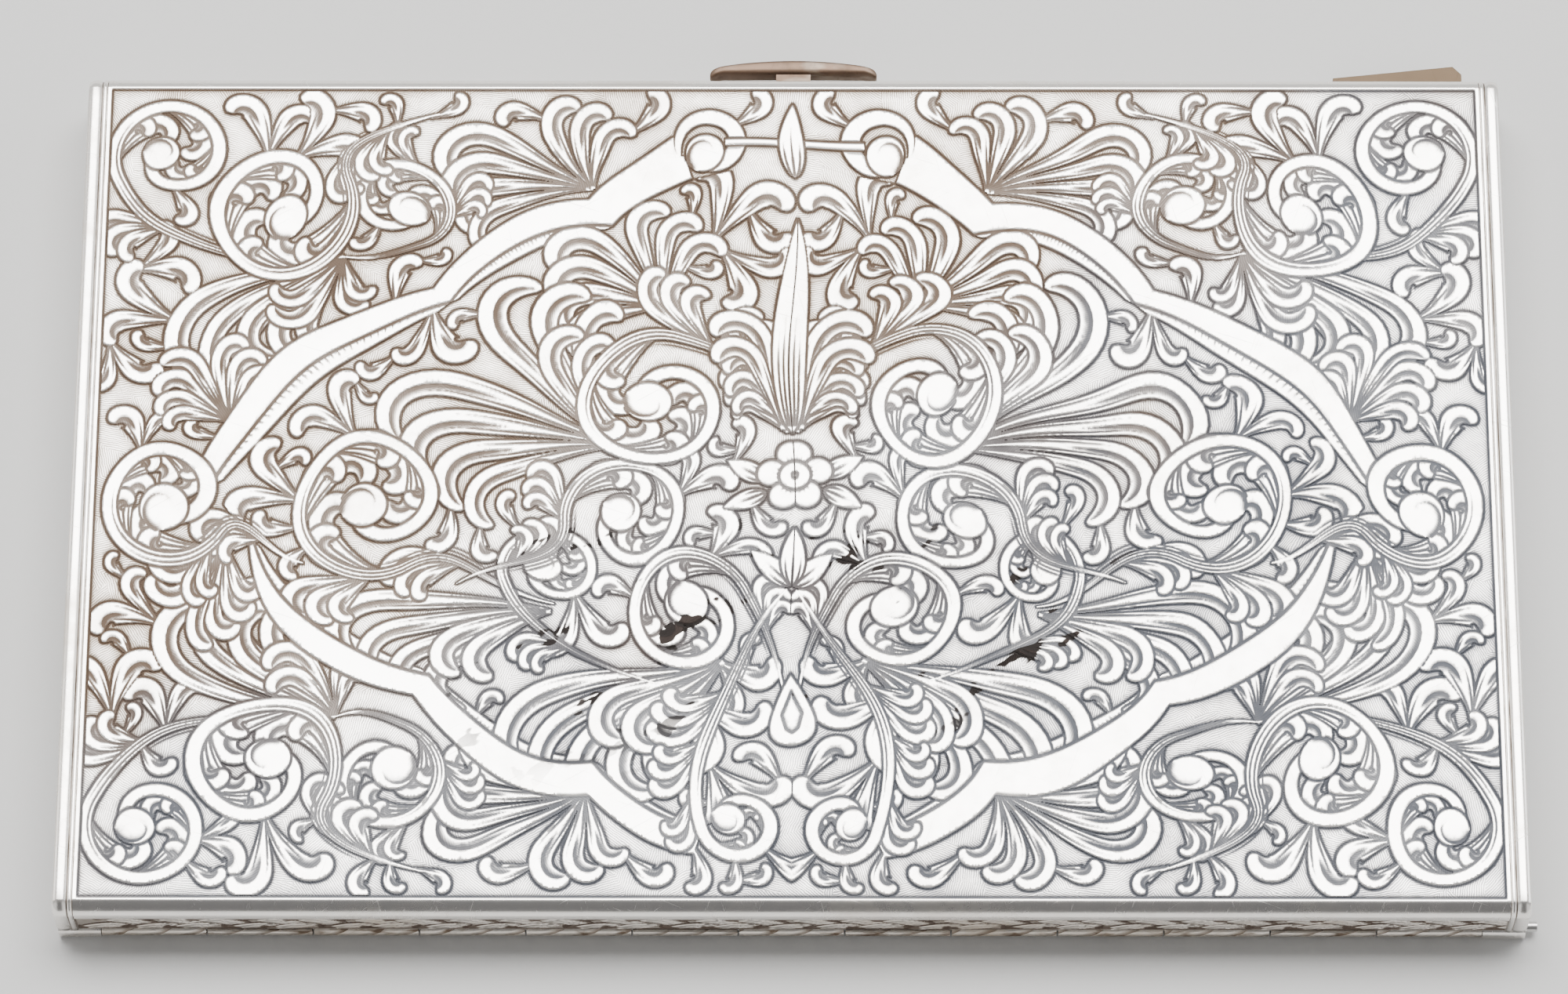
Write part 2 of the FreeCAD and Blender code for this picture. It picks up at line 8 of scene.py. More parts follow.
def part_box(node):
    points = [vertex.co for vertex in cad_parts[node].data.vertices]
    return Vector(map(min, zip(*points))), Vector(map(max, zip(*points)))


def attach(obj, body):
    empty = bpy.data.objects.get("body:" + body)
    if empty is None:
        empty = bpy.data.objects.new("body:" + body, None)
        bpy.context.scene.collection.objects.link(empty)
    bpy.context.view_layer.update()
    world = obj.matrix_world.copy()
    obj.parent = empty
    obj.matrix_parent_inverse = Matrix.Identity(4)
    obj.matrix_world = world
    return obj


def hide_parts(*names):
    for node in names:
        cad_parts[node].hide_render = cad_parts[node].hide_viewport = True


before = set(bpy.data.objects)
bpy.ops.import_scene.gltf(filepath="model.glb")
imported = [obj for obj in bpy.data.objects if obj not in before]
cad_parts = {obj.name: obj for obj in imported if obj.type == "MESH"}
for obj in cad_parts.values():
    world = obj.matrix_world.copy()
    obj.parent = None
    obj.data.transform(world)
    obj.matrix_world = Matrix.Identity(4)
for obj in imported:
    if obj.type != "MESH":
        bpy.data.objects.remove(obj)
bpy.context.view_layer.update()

MM = 0.001

# ======== Table, light and camera ========
# A sheet of pale grey paper under one large soft light above and behind the case, with weaker
# fills to its left and right, so that polished silver reads white and its cuts read dark.


class Wire:
    """A shader socket that takes part in Python arithmetic."""

    def __init__(self, finish, socket):
        self.finish = finish
        self.socket = socket

    def __add__(self, other):
        return self.finish.maths("ADD", self, other)

    def __sub__(self, other):
        return self.finish.maths("SUBTRACT", self, other)

    def __rsub__(self, other):
        return self.finish.maths("SUBTRACT", other, self)

    def __mul__(self, other):
        return self.finish.maths("MULTIPLY", self, other)

    def __truediv__(self, other):
        return self.finish.maths("DIVIDE", self, other)

    def __gt__(self, other):
        return self.finish.maths("GREATER_THAN", self, other)

    def __lt__(self, other):
        return self.finish.maths("LESS_THAN", self, other)

    def __abs__(self):
        return self.finish.maths("ABSOLUTE", self)

    def __getitem__(self, axis):
        """One part of a vector: X, Y or Z."""
        made = self.finish.node("SeparateXYZ", None, {"Vector": self})
        return Wire(self.finish, made.socket.node.outputs[axis])

    __radd__ = __add__
    __rmul__ = __mul__


class Finish:
    """A finish in the making: a material with one Principled shader, or the room's light."""

    def __init__(self, name, holder=bpy.data.materials, shader="Principled BSDF"):
        self.material = holder.new(name)
        self.material.use_nodes = True
        self.tree = self.material.node_tree
        self.shader = self.tree.nodes[shader]

    def node(self, kind, settings=None, sockets=None, out=0):
        """Adds a node: its settings first, then the values or wires of its sockets."""
        made = self.tree.nodes.new("ShaderNode" + kind)
        for setting, choice in (settings or {}).items():
            setattr(made, setting, choice)
        for name, given in (sockets or {}).items():
            self.feed(made.inputs[name], given)
        return Wire(self, made.outputs[out])

    def feed(self, socket, given):
        if isinstance(given, Wire):
            self.tree.links.new(given.socket, socket)
        else:
            socket.default_value = given

    def maths(self, operation, *values):
        return self.node("Math", {"operation": operation}, dict(enumerate(values)))

    def clamp(self, wire):
        return self.node("Clamp", None, {"Value": wire})

    def ramp(self, wire, low, high):
        """0 below low, 1 above high, smooth between."""
        return self.node("MapRange", {"interpolation_type": "SMOOTHSTEP"},
                         {"Value": wire, "From Min": low, "From Max": high})

    def mix(self, factor, first, second):
        """Colours by factor."""
        made = self.tree.nodes.new("ShaderNodeMix")
        made.data_type = "RGBA"
        for place, given in ((0, factor), (6, first), (7, second)):
            self.feed(made.inputs[place], given)
        return Wire(self, made.outputs[2])

    def place(self, stretch=(1, 1, 1), turn=(0, 0, 0)):
        """The point on the piece, in millimetres, turned and then stretched."""
        spot = self.node("TexCoord", None, None, "Object")
        return self.node("Mapping", {"vector_type": "TEXTURE"}, {
            "Vector": spot, "Scale": [MM / side for side in stretch], "Rotation": turn})

    def noise(self, scale, detail=3, stretch=(1, 1, 1), turn=(0, 0, 0), rough=0.55):
        return self.node("TexNoise", None, {
            "Vector": self.place(stretch, turn), "Scale": scale, "Detail": detail,
            "Roughness": rough})

    def mark(self, name):
        """A number written at the points of the piece by write_mark."""
        return self.node("Attribute", {"attribute_name": name}, None, "Fac")

    def bump(self, height, depth, strength=1.0, after=None):
        sockets = {"Height": height, "Distance": depth * MM, "Strength": strength}
        if after is not None:
            sockets["Normal"] = after
        return self.node("Bump", None, sockets)

    def done(self, **sockets):
        for name, given in sockets.items():
            self.feed(self.shader.inputs[name.replace("_", " ")], given)
        return self.material


def colour(red, green, blue):
    return (red, green, blue, 1.0)


paper = Finish("grey_paper")
fibres = paper.noise(1.6, 6, rough=0.7)
clouds = paper.noise(0.02, 2)
PAPER_LIGHT = colour(0.60, 0.598, 0.59)
PAPER_DARK = colour(0.555, 0.553, 0.545)
paper_tone = paper.mix(paper.clamp(fibres * 0.6 + clouds * 0.6 - 0.1), PAPER_DARK, PAPER_LIGHT)
paper.done(Base_Color=paper_tone, Roughness=0.9, Normal=paper.bump(fibres, 0.05, 0.35))

TABLE_SIDE = 3.0         # metres
table_mesh = bpy.data.meshes.new("table")
edge = TABLE_SIDE / 2
table_mesh.from_pydata([(-edge, -edge, 0), (edge, -edge, 0), (edge, edge, 0), (-edge, edge, 0)],
                       [], [(0, 1, 2, 3)])
table = bpy.data.objects.new("table", table_mesh)
bpy.context.collection.objects.link(table)
table_mesh.materials.append(paper.material)

# name, place of its middle in metres, width, height, watts, tint
LIGHTS = (
    ("sky_light", (0.02, 0.36, 0.86), 1.10, 0.46, 20.0, (1.0, 0.995, 0.985)),
    ("left_fill", (-0.95, 0.15, 0.50), 0.60, 0.40, 1.6, (1.0, 0.97, 0.93)),
    ("right_fill", (0.95, 0.20, 0.45), 0.60, 0.40, 2.2, (0.96, 0.98, 1.0)),
)
for name, spot, wide, high, watts, tint in LIGHTS:
    lamp = bpy.data.lights.new(name, "AREA")
    lamp.shape = "RECTANGLE"
    lamp.size = wide
    lamp.size_y = high
    lamp.energy = watts
    lamp.color = tint
    light = bpy.data.objects.new(name, lamp)
    light.location = spot
    light.rotation_mode = "QUATERNION"
    light.rotation_quaternion = Vector(spot).to_track_quat("Z", "Y")
    bpy.context.collection.objects.link(light)

# The room is white, with a dark opening in front of the bench and grey screens at both sides,
# which draw the grey lines along the rolled edges and the mouldings.
ROOM_WHITE = colour(0.92, 0.92, 0.915)
ROOM_DIM = colour(0.165, 0.165, 0.168)
SCREEN_SHARE = 0.65      # how grey the screens are beside the opening
room = Finish("soft_room", bpy.data.worlds, "Background")
way = room.node("TexCoord", None, None, "Generated")
opening = room.ramp(way["Y"] * -1.0, -0.06, 0.26) * room.ramp(abs(way["X"]), 0.55, 0.30)
screens = (room.ramp(abs(way["X"]), 0.12, 0.40) * room.ramp(abs(way["Y"]), 0.50, 0.28)
           * room.ramp(way["Z"], 0.08, 0.30))
dimmed = room.clamp(opening + screens * SCREEN_SHARE)
room.done(Color=room.mix(dimmed, ROOM_WHITE, ROOM_DIM), Strength=1.0)
bpy.context.scene.world = room.material

# The camera looks down at the engraved top from the hinge side.
CAMERA_SPOT = (0.00127, -0.1625, 0.4159)
CAMERA_DOWN = 68.5       # degrees under the horizon
CAMERA_AIM = 0.65        # degrees to the left of straight on
CAMERA_ROLL = -0.54
CAMERA_LENS = 149.3      # mm
SENSOR_WIDTH = 36.0      # mm
lens = bpy.data.cameras.new("camera")
lens.lens = CAMERA_LENS
lens.sensor_width = SENSOR_WIDTH
lens.clip_start = 0.01
camera = bpy.data.objects.new("camera", lens)
aim = (Matrix.Rotation(radians(CAMERA_AIM), 4, "Z")
       @ Matrix.Rotation(radians(90 - CAMERA_DOWN), 4, "X")
       @ Matrix.Rotation(radians(CAMERA_ROLL), 4, "Z"))
camera.matrix_world = Matrix.Translation(CAMERA_SPOT) @ aim
bpy.context.collection.objects.link(camera)
bpy.context.scene.camera = camera

# ======== Base tray and its end mouldings ========
# A shallow tray of hard silver sheet, raised over a stake and polished, with a soldered moulding
# along each short end. The inside is gilt; the underside has carried scratches for decades.

SILVER = colour(0.935, 0.905, 0.865)
SILVER_TARNISHED = colour(0.58, 0.50, 0.41)
GILT = colour(0.86, 0.64, 0.44)
GILT_WORN = colour(0.84, 0.76, 0.66)
SCRATCH_WAYS = (0.3, 1.25, 2.1, 2.8)


def hairlines(finish):
    """Fine scratches in four directions, 0 to 1."""
    total = None
    for number, angle in enumerate(SCRATCH_WAYS):
        line = finish.noise(1.0, 2, (9.0 + number, 0.12, 1.0), (0, 0, angle), 0.5)
        line = finish.ramp(line, 0.69, 0.78)
        total = line if total is None else finish.maths("MAXIMUM", total, line)
    return total


def polished(name, tone, dull, rough=0.2, tarnish=0.6):
    """Hand-polished sheet: soft ripples, hairlines and warm tarnish in clouds."""
    finish = Finish(name)
    clouds = finish.noise(0.09, 4)
    spots = finish.noise(0.8, 5, rough=0.65)
    stain = finish.ramp(clouds * 0.75 + spots * 0.35, 0.50, 0.80) * tarnish
    hair = hairlines(finish)
    ripple = finish.noise(0.35, 2)
    relief = finish.bump(ripple, 0.012, 0.6)
    relief = finish.bump(hair, -0.004, 0.6, relief)
    finish.tone = finish.mix(stain, tone, dull)
    finish.rough = rough + stain * 0.25 + hair * 0.12 + spots * 0.06
    finish.relief = relief
    finish.done(Base_Color=finish.tone, Metallic=1.0, Roughness=finish.rough, Normal=relief)
    return finish


def dress(material, *names):
    """Gives a finish to parts whose shape is already right."""
    for name in names:
        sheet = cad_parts[name].data
        sheet.materials.clear()
        sheet.materials.append(material)


def mesh_piece(name, points, faces, material, body, crease=35):
    """A mesh object in metres from points in millimetres, riding on a body, with its edges
    sharp where it bends by more than crease degrees."""
    mesh = bpy.data.meshes.new(name)
    mesh.from_pydata([tuple(point) for point in np.asarray(points, float) * MM], [], faces)
    mesh.polygons.foreach_set("use_smooth", [True] * len(mesh.polygons))
    mesh.set_sharp_from_angle(angle=radians(crease))
    mesh.materials.append(material)
    piece = bpy.data.objects.new(name, mesh)
    bpy.context.collection.objects.link(piece)
    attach(piece, body)
    return piece


def node_box(name):
    """A part's lowest and highest corners, in millimetres."""
    low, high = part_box(name)
    return [side * 1000 for side in low], [side * 1000 for side in high]


silver_plain = polished("silver_plain", SILVER, SILVER_TARNISHED)
gilt_plain = polished("gilt_plain", GILT, GILT_WORN, 0.26)

# The tray is silver outside and gilt inside, with a worn line where the two meet.
GILT_FROM = 0.3          # mm above the table: the tray's floor
GILT_SIDE = 47.15
GILT_END = 29.0
tray = polished("silver_tray_gilt_inside", SILVER, SILVER_TARNISHED)
spot = tray.place()
inside = (spot["Z"] > GILT_FROM) * (abs(spot["X"]) < GILT_SIDE) * (abs(spot["Y"]) < GILT_END)
worn = tray.ramp(tray.noise(2.5, 4) * 0.4 + tray.noise(0.06, 3) * 0.8, 0.55, 0.85)
gilt_tone = tray.mix(worn, GILT, GILT_WORN)
tray.done(Base_Color=tray.mix(inside, tray.tone, gilt_tone))
dress(tray.material, "base_tray")
dress(silver_plain.material, "base_end_band_left", "base_end_band_right")
dress(gilt_plain.material, "base_bezel")

# ======== Hinge: knuckles and pin ========
# Thirteen lengths of one drawn silver tube, soldered in turn to tray, lid and leaf, and run
# through by one steel pin. The tube was engraved with the rest, and its gaps hold old polish.

HINGE_AXIS = (-29.8, 0.8)    # y, z
LEAF_CUTS = 2.4              # mm from one leaf cut to the next

SILVER_SOILED = colour(0.76, 0.71, 0.65)
HINGE_GRIME = colour(0.20, 0.15, 0.11)
knuckle = polished("silver_knuckle", SILVER_SOILED, SILVER_TARNISHED, 0.26, 0.9)
around = knuckle.place()
turned = knuckle.maths("ARCTAN2", around["Z"] - HINGE_AXIS[1], around["Y"] - HINGE_AXIS[0])
lean = around["X"] + turned * 1.1 + knuckle.noise(0.5, 2) * 1.2
wedge = knuckle.maths("FRACT", lean / LEAF_CUTS)
nick = knuckle.ramp(wedge, 0.55, 0.95) * knuckle.ramp(wedge, 1.0, 0.96)
grime = knuckle.ramp(knuckle.noise(0.9, 5, (0.5, 2, 2)), 0.52, 0.66) * 0.7
shadow = knuckle.clamp(nick * 0.75 + grime)
knuckle.done(
    Base_Color=knuckle.mix(shadow, knuckle.tone, HINGE_GRIME),
    Roughness=knuckle.rough + shadow * 0.3,
    Normal=knuckle.bump(nick, -0.05, 0.9, knuckle.relief))
dress(knuckle.material, *[f"base_knuckle_{k}" for k in range(1, 8)],
      *[f"lid_knuckle_{k}" for k in range(1, 5)], "leaf_knuckle_1", "leaf_knuckle_2")

STEEL = colour(0.62, 0.61, 0.60)
STEEL_DULL = colour(0.30, 0.25, 0.21)
steel_wire = polished("steel_wire", STEEL, STEEL_DULL, 0.3, 0.8)
dress(steel_wire.material, "hinge_pin")

# ======== Latch spring, leaf spring, rivets and clips ========
# Blued spring strip riveted to the tray's rear wall, and a bent wire that lifts the leaf; both
# are held by small soft rivets and staples that took the gilding with the tray.

BLUED = colour(0.42, 0.42, 0.45)
BLUED_RUSTY = colour(0.22, 0.16, 0.12)
spring_strip = polished("blued_spring", BLUED, BLUED_RUSTY, 0.28)
dress(spring_strip.material, "latch_spring", "leaf_spring", "latch_blade")
dress(gilt_plain.material, "latch_rivets", "spring_clips")

# ======== Inner leaf ========
# A thin gilt plate hinged with the lid, that holds the cards down and lifts them as it opens.
# It was planished, so its face has long soft ripples, and cards have worn a paler field on it.

leaf_gilt = polished("gilt_leaf", GILT, GILT_WORN, 0.22)
face = leaf_gilt.place()
field = (leaf_gilt.ramp(abs(face["X"]), 44.0, 38.0) * leaf_gilt.ramp(abs(face["Y"]), 27.0, 22.0))
rubbed = leaf_gilt.clamp(field * (leaf_gilt.noise(0.12, 4, (0.25, 1, 1)) * 1.5 - 0.25))
leaf_gilt.done(
    Base_Color=leaf_gilt.mix(rubbed * 0.7, leaf_gilt.tone, GILT_WORN),
    Roughness=leaf_gilt.rough + rubbed * 0.08)
dress(leaf_gilt.material, "card_leaf")

# The thumb tab stands out behind the case: a wedge of the same plate, dull with handling.
GILT_SOILED = colour(0.10, 0.072, 0.048)
GILT_BLACKENED = colour(0.06, 0.045, 0.03)
tab_gilt = polished("soiled_gilt", GILT_SOILED, GILT_BLACKENED, 0.5, 0.9)
dress(tab_gilt.material, "leaf_tab")

# ======== Lid cover ========
# One sheet of silver with both long edges rolled down. The top is cut by hand with a graver:
# a ribbon cartouche on a hatched ground, filled and surrounded by scrolls and curled leaves.

COVER_HALF = 47.6        # mm, half the engraved length
COVER_DEPTH = 29.6       # mm, half the flat depth
COVER_CELLS = 1024
OUTLINE = 0.19           # mm, width of a full graver cut
CUT_DEPTH = 0.085
GROUND_DEPTH = 0.06
SMALLEST = 1e-4          # mm, keeps a width from being nothing


class Plate:
    """A sheet under the graver: how much ground is sunk and how deep it is cut, on a grid."""

    def __init__(self, low, high, cells):
        self.u = np.linspace(low[0], high[0], cells[0] + 1)
        self.v = np.linspace(low[1], high[1], cells[1] + 1)
        shape = (cells[1] + 1, cells[0] + 1)
        self.ground = np.ones(shape, np.float32)
        self.cut = np.zeros(shape, np.float32)
        self.clip = np.ones(shape, bool)

    def window(self, low, high):
        """The grid's rows and columns between two corners."""
        a0, a1 = np.searchsorted(self.u, (low[0], high[0]))
        b0, b1 = np.searchsorted(self.v, (low[1], high[1]))
        return slice(b0, b1), slice(a0, a1)

    def inside(self, outline):
        """The grid's points inside a closed outline, by winding number."""
        rows, cols = self.window(outline.min(0), outline.max(0))
        v = self.v[rows]
        u = self.u[cols]
        turns = np.zeros((len(v), len(u) + 1), np.int16)
        after = np.roll(outline, -1, axis=0)
        for (x0, y0), (x1, y1) in zip(outline, after):
            if y0 == y1:
                continue
            sign = 1 if y1 > y0 else -1
            b0, b1 = np.searchsorted(v, (min(y0, y1), max(y0, y1)))
            if b0 == b1:
                continue
            across = x0 + (v[b0:b1] - y0) * (x1 - x0) / (y1 - y0)
            turns[np.arange(b0, b1), np.searchsorted(u, across)] += sign
        wound = np.cumsum(turns[:, ::-1], axis=1)[:, ::-1][:, 1:]
        return rows, cols, (wound != 0) & self.clip[rows, cols]

    def area(self, outline):
        """All points inside an outline, free of the clip."""
        mask = np.zeros_like(self.clip)
        kept = self.clip
        self.clip = np.ones_like(kept)
        rows, cols, part = self.inside(np.array(outline, float))
        self.clip = kept
        mask[rows, cols] = part
        return mask

    def raise_metal(self, outline):
        rows, cols, mask = self.inside(outline)
        self.ground[rows, cols][mask] = 0.0
        self.cut[rows, cols][mask] = 0.0

    def sink_ground(self, outline):
        rows, cols, mask = self.inside(outline)
        self.ground[rows, cols][mask] = 1.0
        self.cut[rows, cols][mask] = 0.0

    def line(self, points, width, depth=CUT_DEPTH, lean=0.0):
        """One pass of the graver; width may vary along it. lean is how far a soft scoop reaches
        beside the cut, to the left of the path when positive."""
        count = len(points)
        width = np.broadcast_to(width, count)
        reach = abs(lean)
        strength = width / max(width.max(), 1e-9)
        for k in range(count - 1):
            start, finish = points[k], points[k + 1]
            margin = max(width[k], width[k + 1]) / 2 + reach
            if margin < 0.02:
                continue
            rows, cols = self.window(np.minimum(start, finish) - margin,
                                     np.maximum(start, finish) + margin)
            if rows.start == rows.stop or cols.start == cols.stop:
                continue
            du = self.u[cols][None, :] - start[0]
            dv = self.v[rows][:, None] - start[1]
            along = finish - start
            length = np.hypot(*along)
            if length < 1e-6:
                continue
            along = along / length
            t = np.clip((du * along[0] + dv * along[1]) / length, 0, 1)
            du = du - t * length * along[0]
            dv = dv - t * length * along[1]
            away = np.hypot(du, dv)
            half = (width[k] + (width[k + 1] - width[k]) * t) / 2
            power = strength[k] + (strength[k + 1] - strength[k]) * t
            cut = np.clip(1.15 - away / np.maximum(half, SMALLEST), 0, 1) * depth
            if reach:
                side = np.sign(along[0] * dv - along[1] * du) * np.sign(lean)
                slope = np.clip(1 - away / (reach * power + SMALLEST), 0, 1) ** 1.6
                cut = np.maximum(cut, np.where(side > 0, slope * depth * 0.62, 0))
            cut = cut * np.minimum(1, power * 1.3) * self.clip[rows, cols]
            np.maximum(self.cut[rows, cols], cut, out=self.cut[rows, cols])


def curl(start, heading, length, bend, hook):
    """A path that bends evenly by bend and then hooks over by hook near its far end."""
    t = 1 - (1 - np.linspace(0, 1, 30)) ** 1.3
    angle = heading + bend * t + hook * np.clip((t - 0.55) / 0.45, 0, 1) ** 1.5
    middle = (angle[1:] + angle[:-1]) / 2
    steps = np.stack([np.cos(middle), np.sin(middle)], 1) * (np.diff(t) * length)[:, None]
    points = np.vstack([[0, 0], np.cumsum(steps, 0)]) + np.array(start, float)
    return t, points, angle


def beside(points, angle, amount):
    """A path moved to its left by an amount."""
    normal = np.stack([-np.sin(angle), np.cos(angle)], 1)
    return points + normal * np.broadcast_to(amount, len(points))[:, None]


def headings(points):
    d = np.gradient(points, axis=0)
    return np.unwrap(np.arctan2(d[:, 1], d[:, 0]))


def circle(centre, radius, start=0.0, sweep=2 * pi, count=28):
    a = start + np.linspace(0, 1, count) * sweep
    return np.array(centre) + radius * np.stack([np.cos(a), np.sin(a)], 1)


def bezier(p0, h0, p1, h1):
    """A smooth stem that leaves p0 along h0 and meets p1 along h1."""
    p0 = np.array(p0, float)
    p1 = np.array(p1, float)
    reach = np.hypot(*(p1 - p0)) * 0.38
    a = p0 + reach * np.array([np.cos(h0), np.sin(h0)])
    b = p1 - reach * np.array([np.cos(h1), np.sin(h1)])
    t = np.linspace(0, 1, 24)[:, None]
    return (1 - t) ** 3 * p0 + 3 * (1 - t) ** 2 * t * a + 3 * (1 - t) * t ** 2 * b + t ** 3 * p1


def strap(plate, points, angle, half, weight=OUTLINE):
    """Metal left standing half wide on both sides of a path, and a cut down each edge."""
    edge_line = beside(points, angle, -half)
    other_line = beside(points, angle, half)
    plate.raise_metal(np.vstack([edge_line, other_line[::-1]]))
    plate.line(edge_line, weight)
    plate.line(other_line, weight)
    return edge_line


def leaf(plate, start, heading, length, width, bend, hook, veins=2, root=0.22):
    """One lobe: narrow at its root, round at its head, and hooked over to one side."""
    t, points, angle = curl(start, heading, length, bend, hook)
    side = 1.0 if hook > 0 else -1.0
    swell = root + (1 - root) * np.sin(np.clip((t - 0.05) / 0.7, 0, 1) * pi / 2) ** 1.5
    rest = np.clip((t - 0.84) / 0.16, 0, 1)
    half = width / 2 * swell * np.sqrt(np.clip(1 - rest ** 2, 0, 1))
    weight = OUTLINE * (0.45 + 0.55 * np.sin(np.clip(t * 1.2, 0, 1) * pi / 2))
    strap(plate, points, angle, side * half, weight)
    if width > 0.5:
        # the hollow under the curl: a stopped cut with a soft scoop to its inner side
        part = (t > 0.42) & (t < 0.97)
        ridge = beside(points, angle, half * side * np.linspace(-0.05, 0.25, len(t)))[part]
        fade = np.sin(np.linspace(0.06, 0.9, part.sum()) * pi) ** 0.7
        plate.line(ridge, OUTLINE * 0.9 * fade, lean=side * width * 0.5)
    for k in range(veins):
        place = -0.55 + 1.1 * k / (veins - 1)
        stop = 0.56 + 0.13 * ((k * 5 + 2) % 3)
        part = (t > 0.02) & (t < stop)
        path = beside(points, angle, -side * half * place)[part]
        taper = np.linspace(1, 0.02, part.sum()) ** 0.6
        plate.line(path, OUTLINE * taper)


def pointed(plate, start, heading, length, width, ribs=3, bend=0.0):
    """A straight leaf with a point and ribs from its root."""
    t, points, angle = curl(start, radians(heading), length, radians(bend), 0.0)
    half = width / 2 * np.sin(np.clip(t, 0, 1) ** 0.8 * pi) ** 0.75
    strap(plate, points, angle, -half)
    for k in range(ribs):
        place = -0.6 + 1.2 * k / (ribs - 1)
        part = (t > 0.02) & (t < 0.72 - 0.3 * abs(place))
        taper = np.linspace(1, 0.02, part.sum()) ** 0.6
        plate.line(beside(points, angle, half * place)[part], OUTLINE * taper)


def frond(plate, root, heading, length, bend, side, count, fan, shrink, width):
    """Lobes from one root that lie side by side, each shorter than the last, all curling away
    to the same side: 1 to the left, -1 to the right."""
    for k in range(count):
        leaf(plate, root, radians(heading + side * fan * k), length * (1 - shrink * k),
             width * (1 - 0.05 * k), radians(side * bend), radians(side * 165))


def spray(plate, root, axis, length, fan, count, bend, width, shrink):
    """Two fronds that open like a fan from one root, with a straighter leaf between them."""
    for side in (1, -1):
        frond(plate, root, axis + side * fan * 0.7, length, bend, side, count, fan, shrink, width)
    leaf(plate, root, radians(axis), length * 1.08, width * 0.95, radians(8), radians(120), 3)


def scroll(plate, centre, radius, start, sweep, knob, band, root, heading, inner, stems,
           fronds=()):
    """A volute: a polished band winding in to a round knob, with leaves inside and out.

    start is the angle, seen from the centre, where the winding begins; sweep is how far it
    winds, anticlockwise when positive. fronds grow from the outside of its stem: how far
    along, how long, how much they bend, how many lobes.
    """
    start, sweep, heading = radians(start), radians(sweep), radians(heading)
    side = 1.0 if sweep > 0 else -1.0
    turns = np.linspace(0, 1, int(abs(sweep) / 0.12) + 2)
    final = knob * 0.5
    reach = final + (radius - band / 2 - final) * (1 - turns ** 2.0) ** 0.85
    angle = start + sweep * turns
    winding = np.array(centre) + (reach * np.stack([np.cos(angle), np.sin(angle)])).T
    heart = winding[-1]
    first_turn = winding[np.abs(angle - start) < 2 * pi]
    tangent = headings(winding)
    path = winding
    if root is not None:
        lead = bezier(root, heading, winding[0], tangent[0])
        path = np.vstack([lead[:-1], winding])
    along = headings(path)
    run = np.concatenate([[0], np.cumsum(np.hypot(*np.diff(path, axis=0).T))])
    t = run / run[-1]
    plate.sink_ground(first_turn)
    for place, size, bend, count in fronds:
        k = int(np.searchsorted(t, place))
        frond(plate, path[k], np.degrees(along[k]) - side * 10, size, bend, -side, count,
              15, 0.18, min(1.6, size * 0.25))
    for k in range(inner):
        place = int((0.02 + 0.62 * (k + 0.2) / inner) * len(winding))
        gap = reach[place] - knob * 0.5
        for share, size in ((30, 1.9), (10, 1.5)):
            leaf(plate, winding[place], tangent[place] + side * radians(share), gap * size,
                 min(gap * 0.46, 1.7), side * radians(55), side * radians(175), root=0.3)
    half = band / 2 * (0.15 + 0.85 * np.clip(t / 0.4, 0, 1) ** 0.8)
    outer_edge = strap(plate, path, along, side * half, OUTLINE * np.clip(0.3 + 3 * t, 0, 1))
    for k in range(stems):
        part = (t > 0.02 + 0.03 * k) & (t < 0.62 - 0.13 * k)
        swell = np.sin(np.linspace(0.03, 1, part.sum()) * pi) ** 0.6
        offset = half * (0.35, -0.35)[k] if k < 2 else half + 0.28 * (k - 1)
        plate.line(beside(path, along, side * offset)[part], OUTLINE * 0.8 * swell,
                   CUT_DEPTH * 0.85)
    plate.raise_metal(circle(heart, knob))
    enter = np.arctan2(*(outer_edge[-1] - heart)[::-1])
    plate.line(circle(heart, knob, enter - side * 0.35, side * 5.3, 40), OUTLINE)
    curve = np.linspace(0, 1, 18)
    hook_angle = enter - side * 0.9 + side * 3.6 * curve
    hook_reach = knob * (1.0 - 0.58 * curve)
    hook = heart + (hook_reach * np.stack([np.cos(hook_angle), np.sin(hook_angle)])).T
    plate.line(hook, OUTLINE * np.linspace(1, 0.25, 18), lean=side * knob * 0.45)


LEAST_GAP = 1.0          # mm, ground narrower than this to each side stays open
MOST_LEAVES = 300


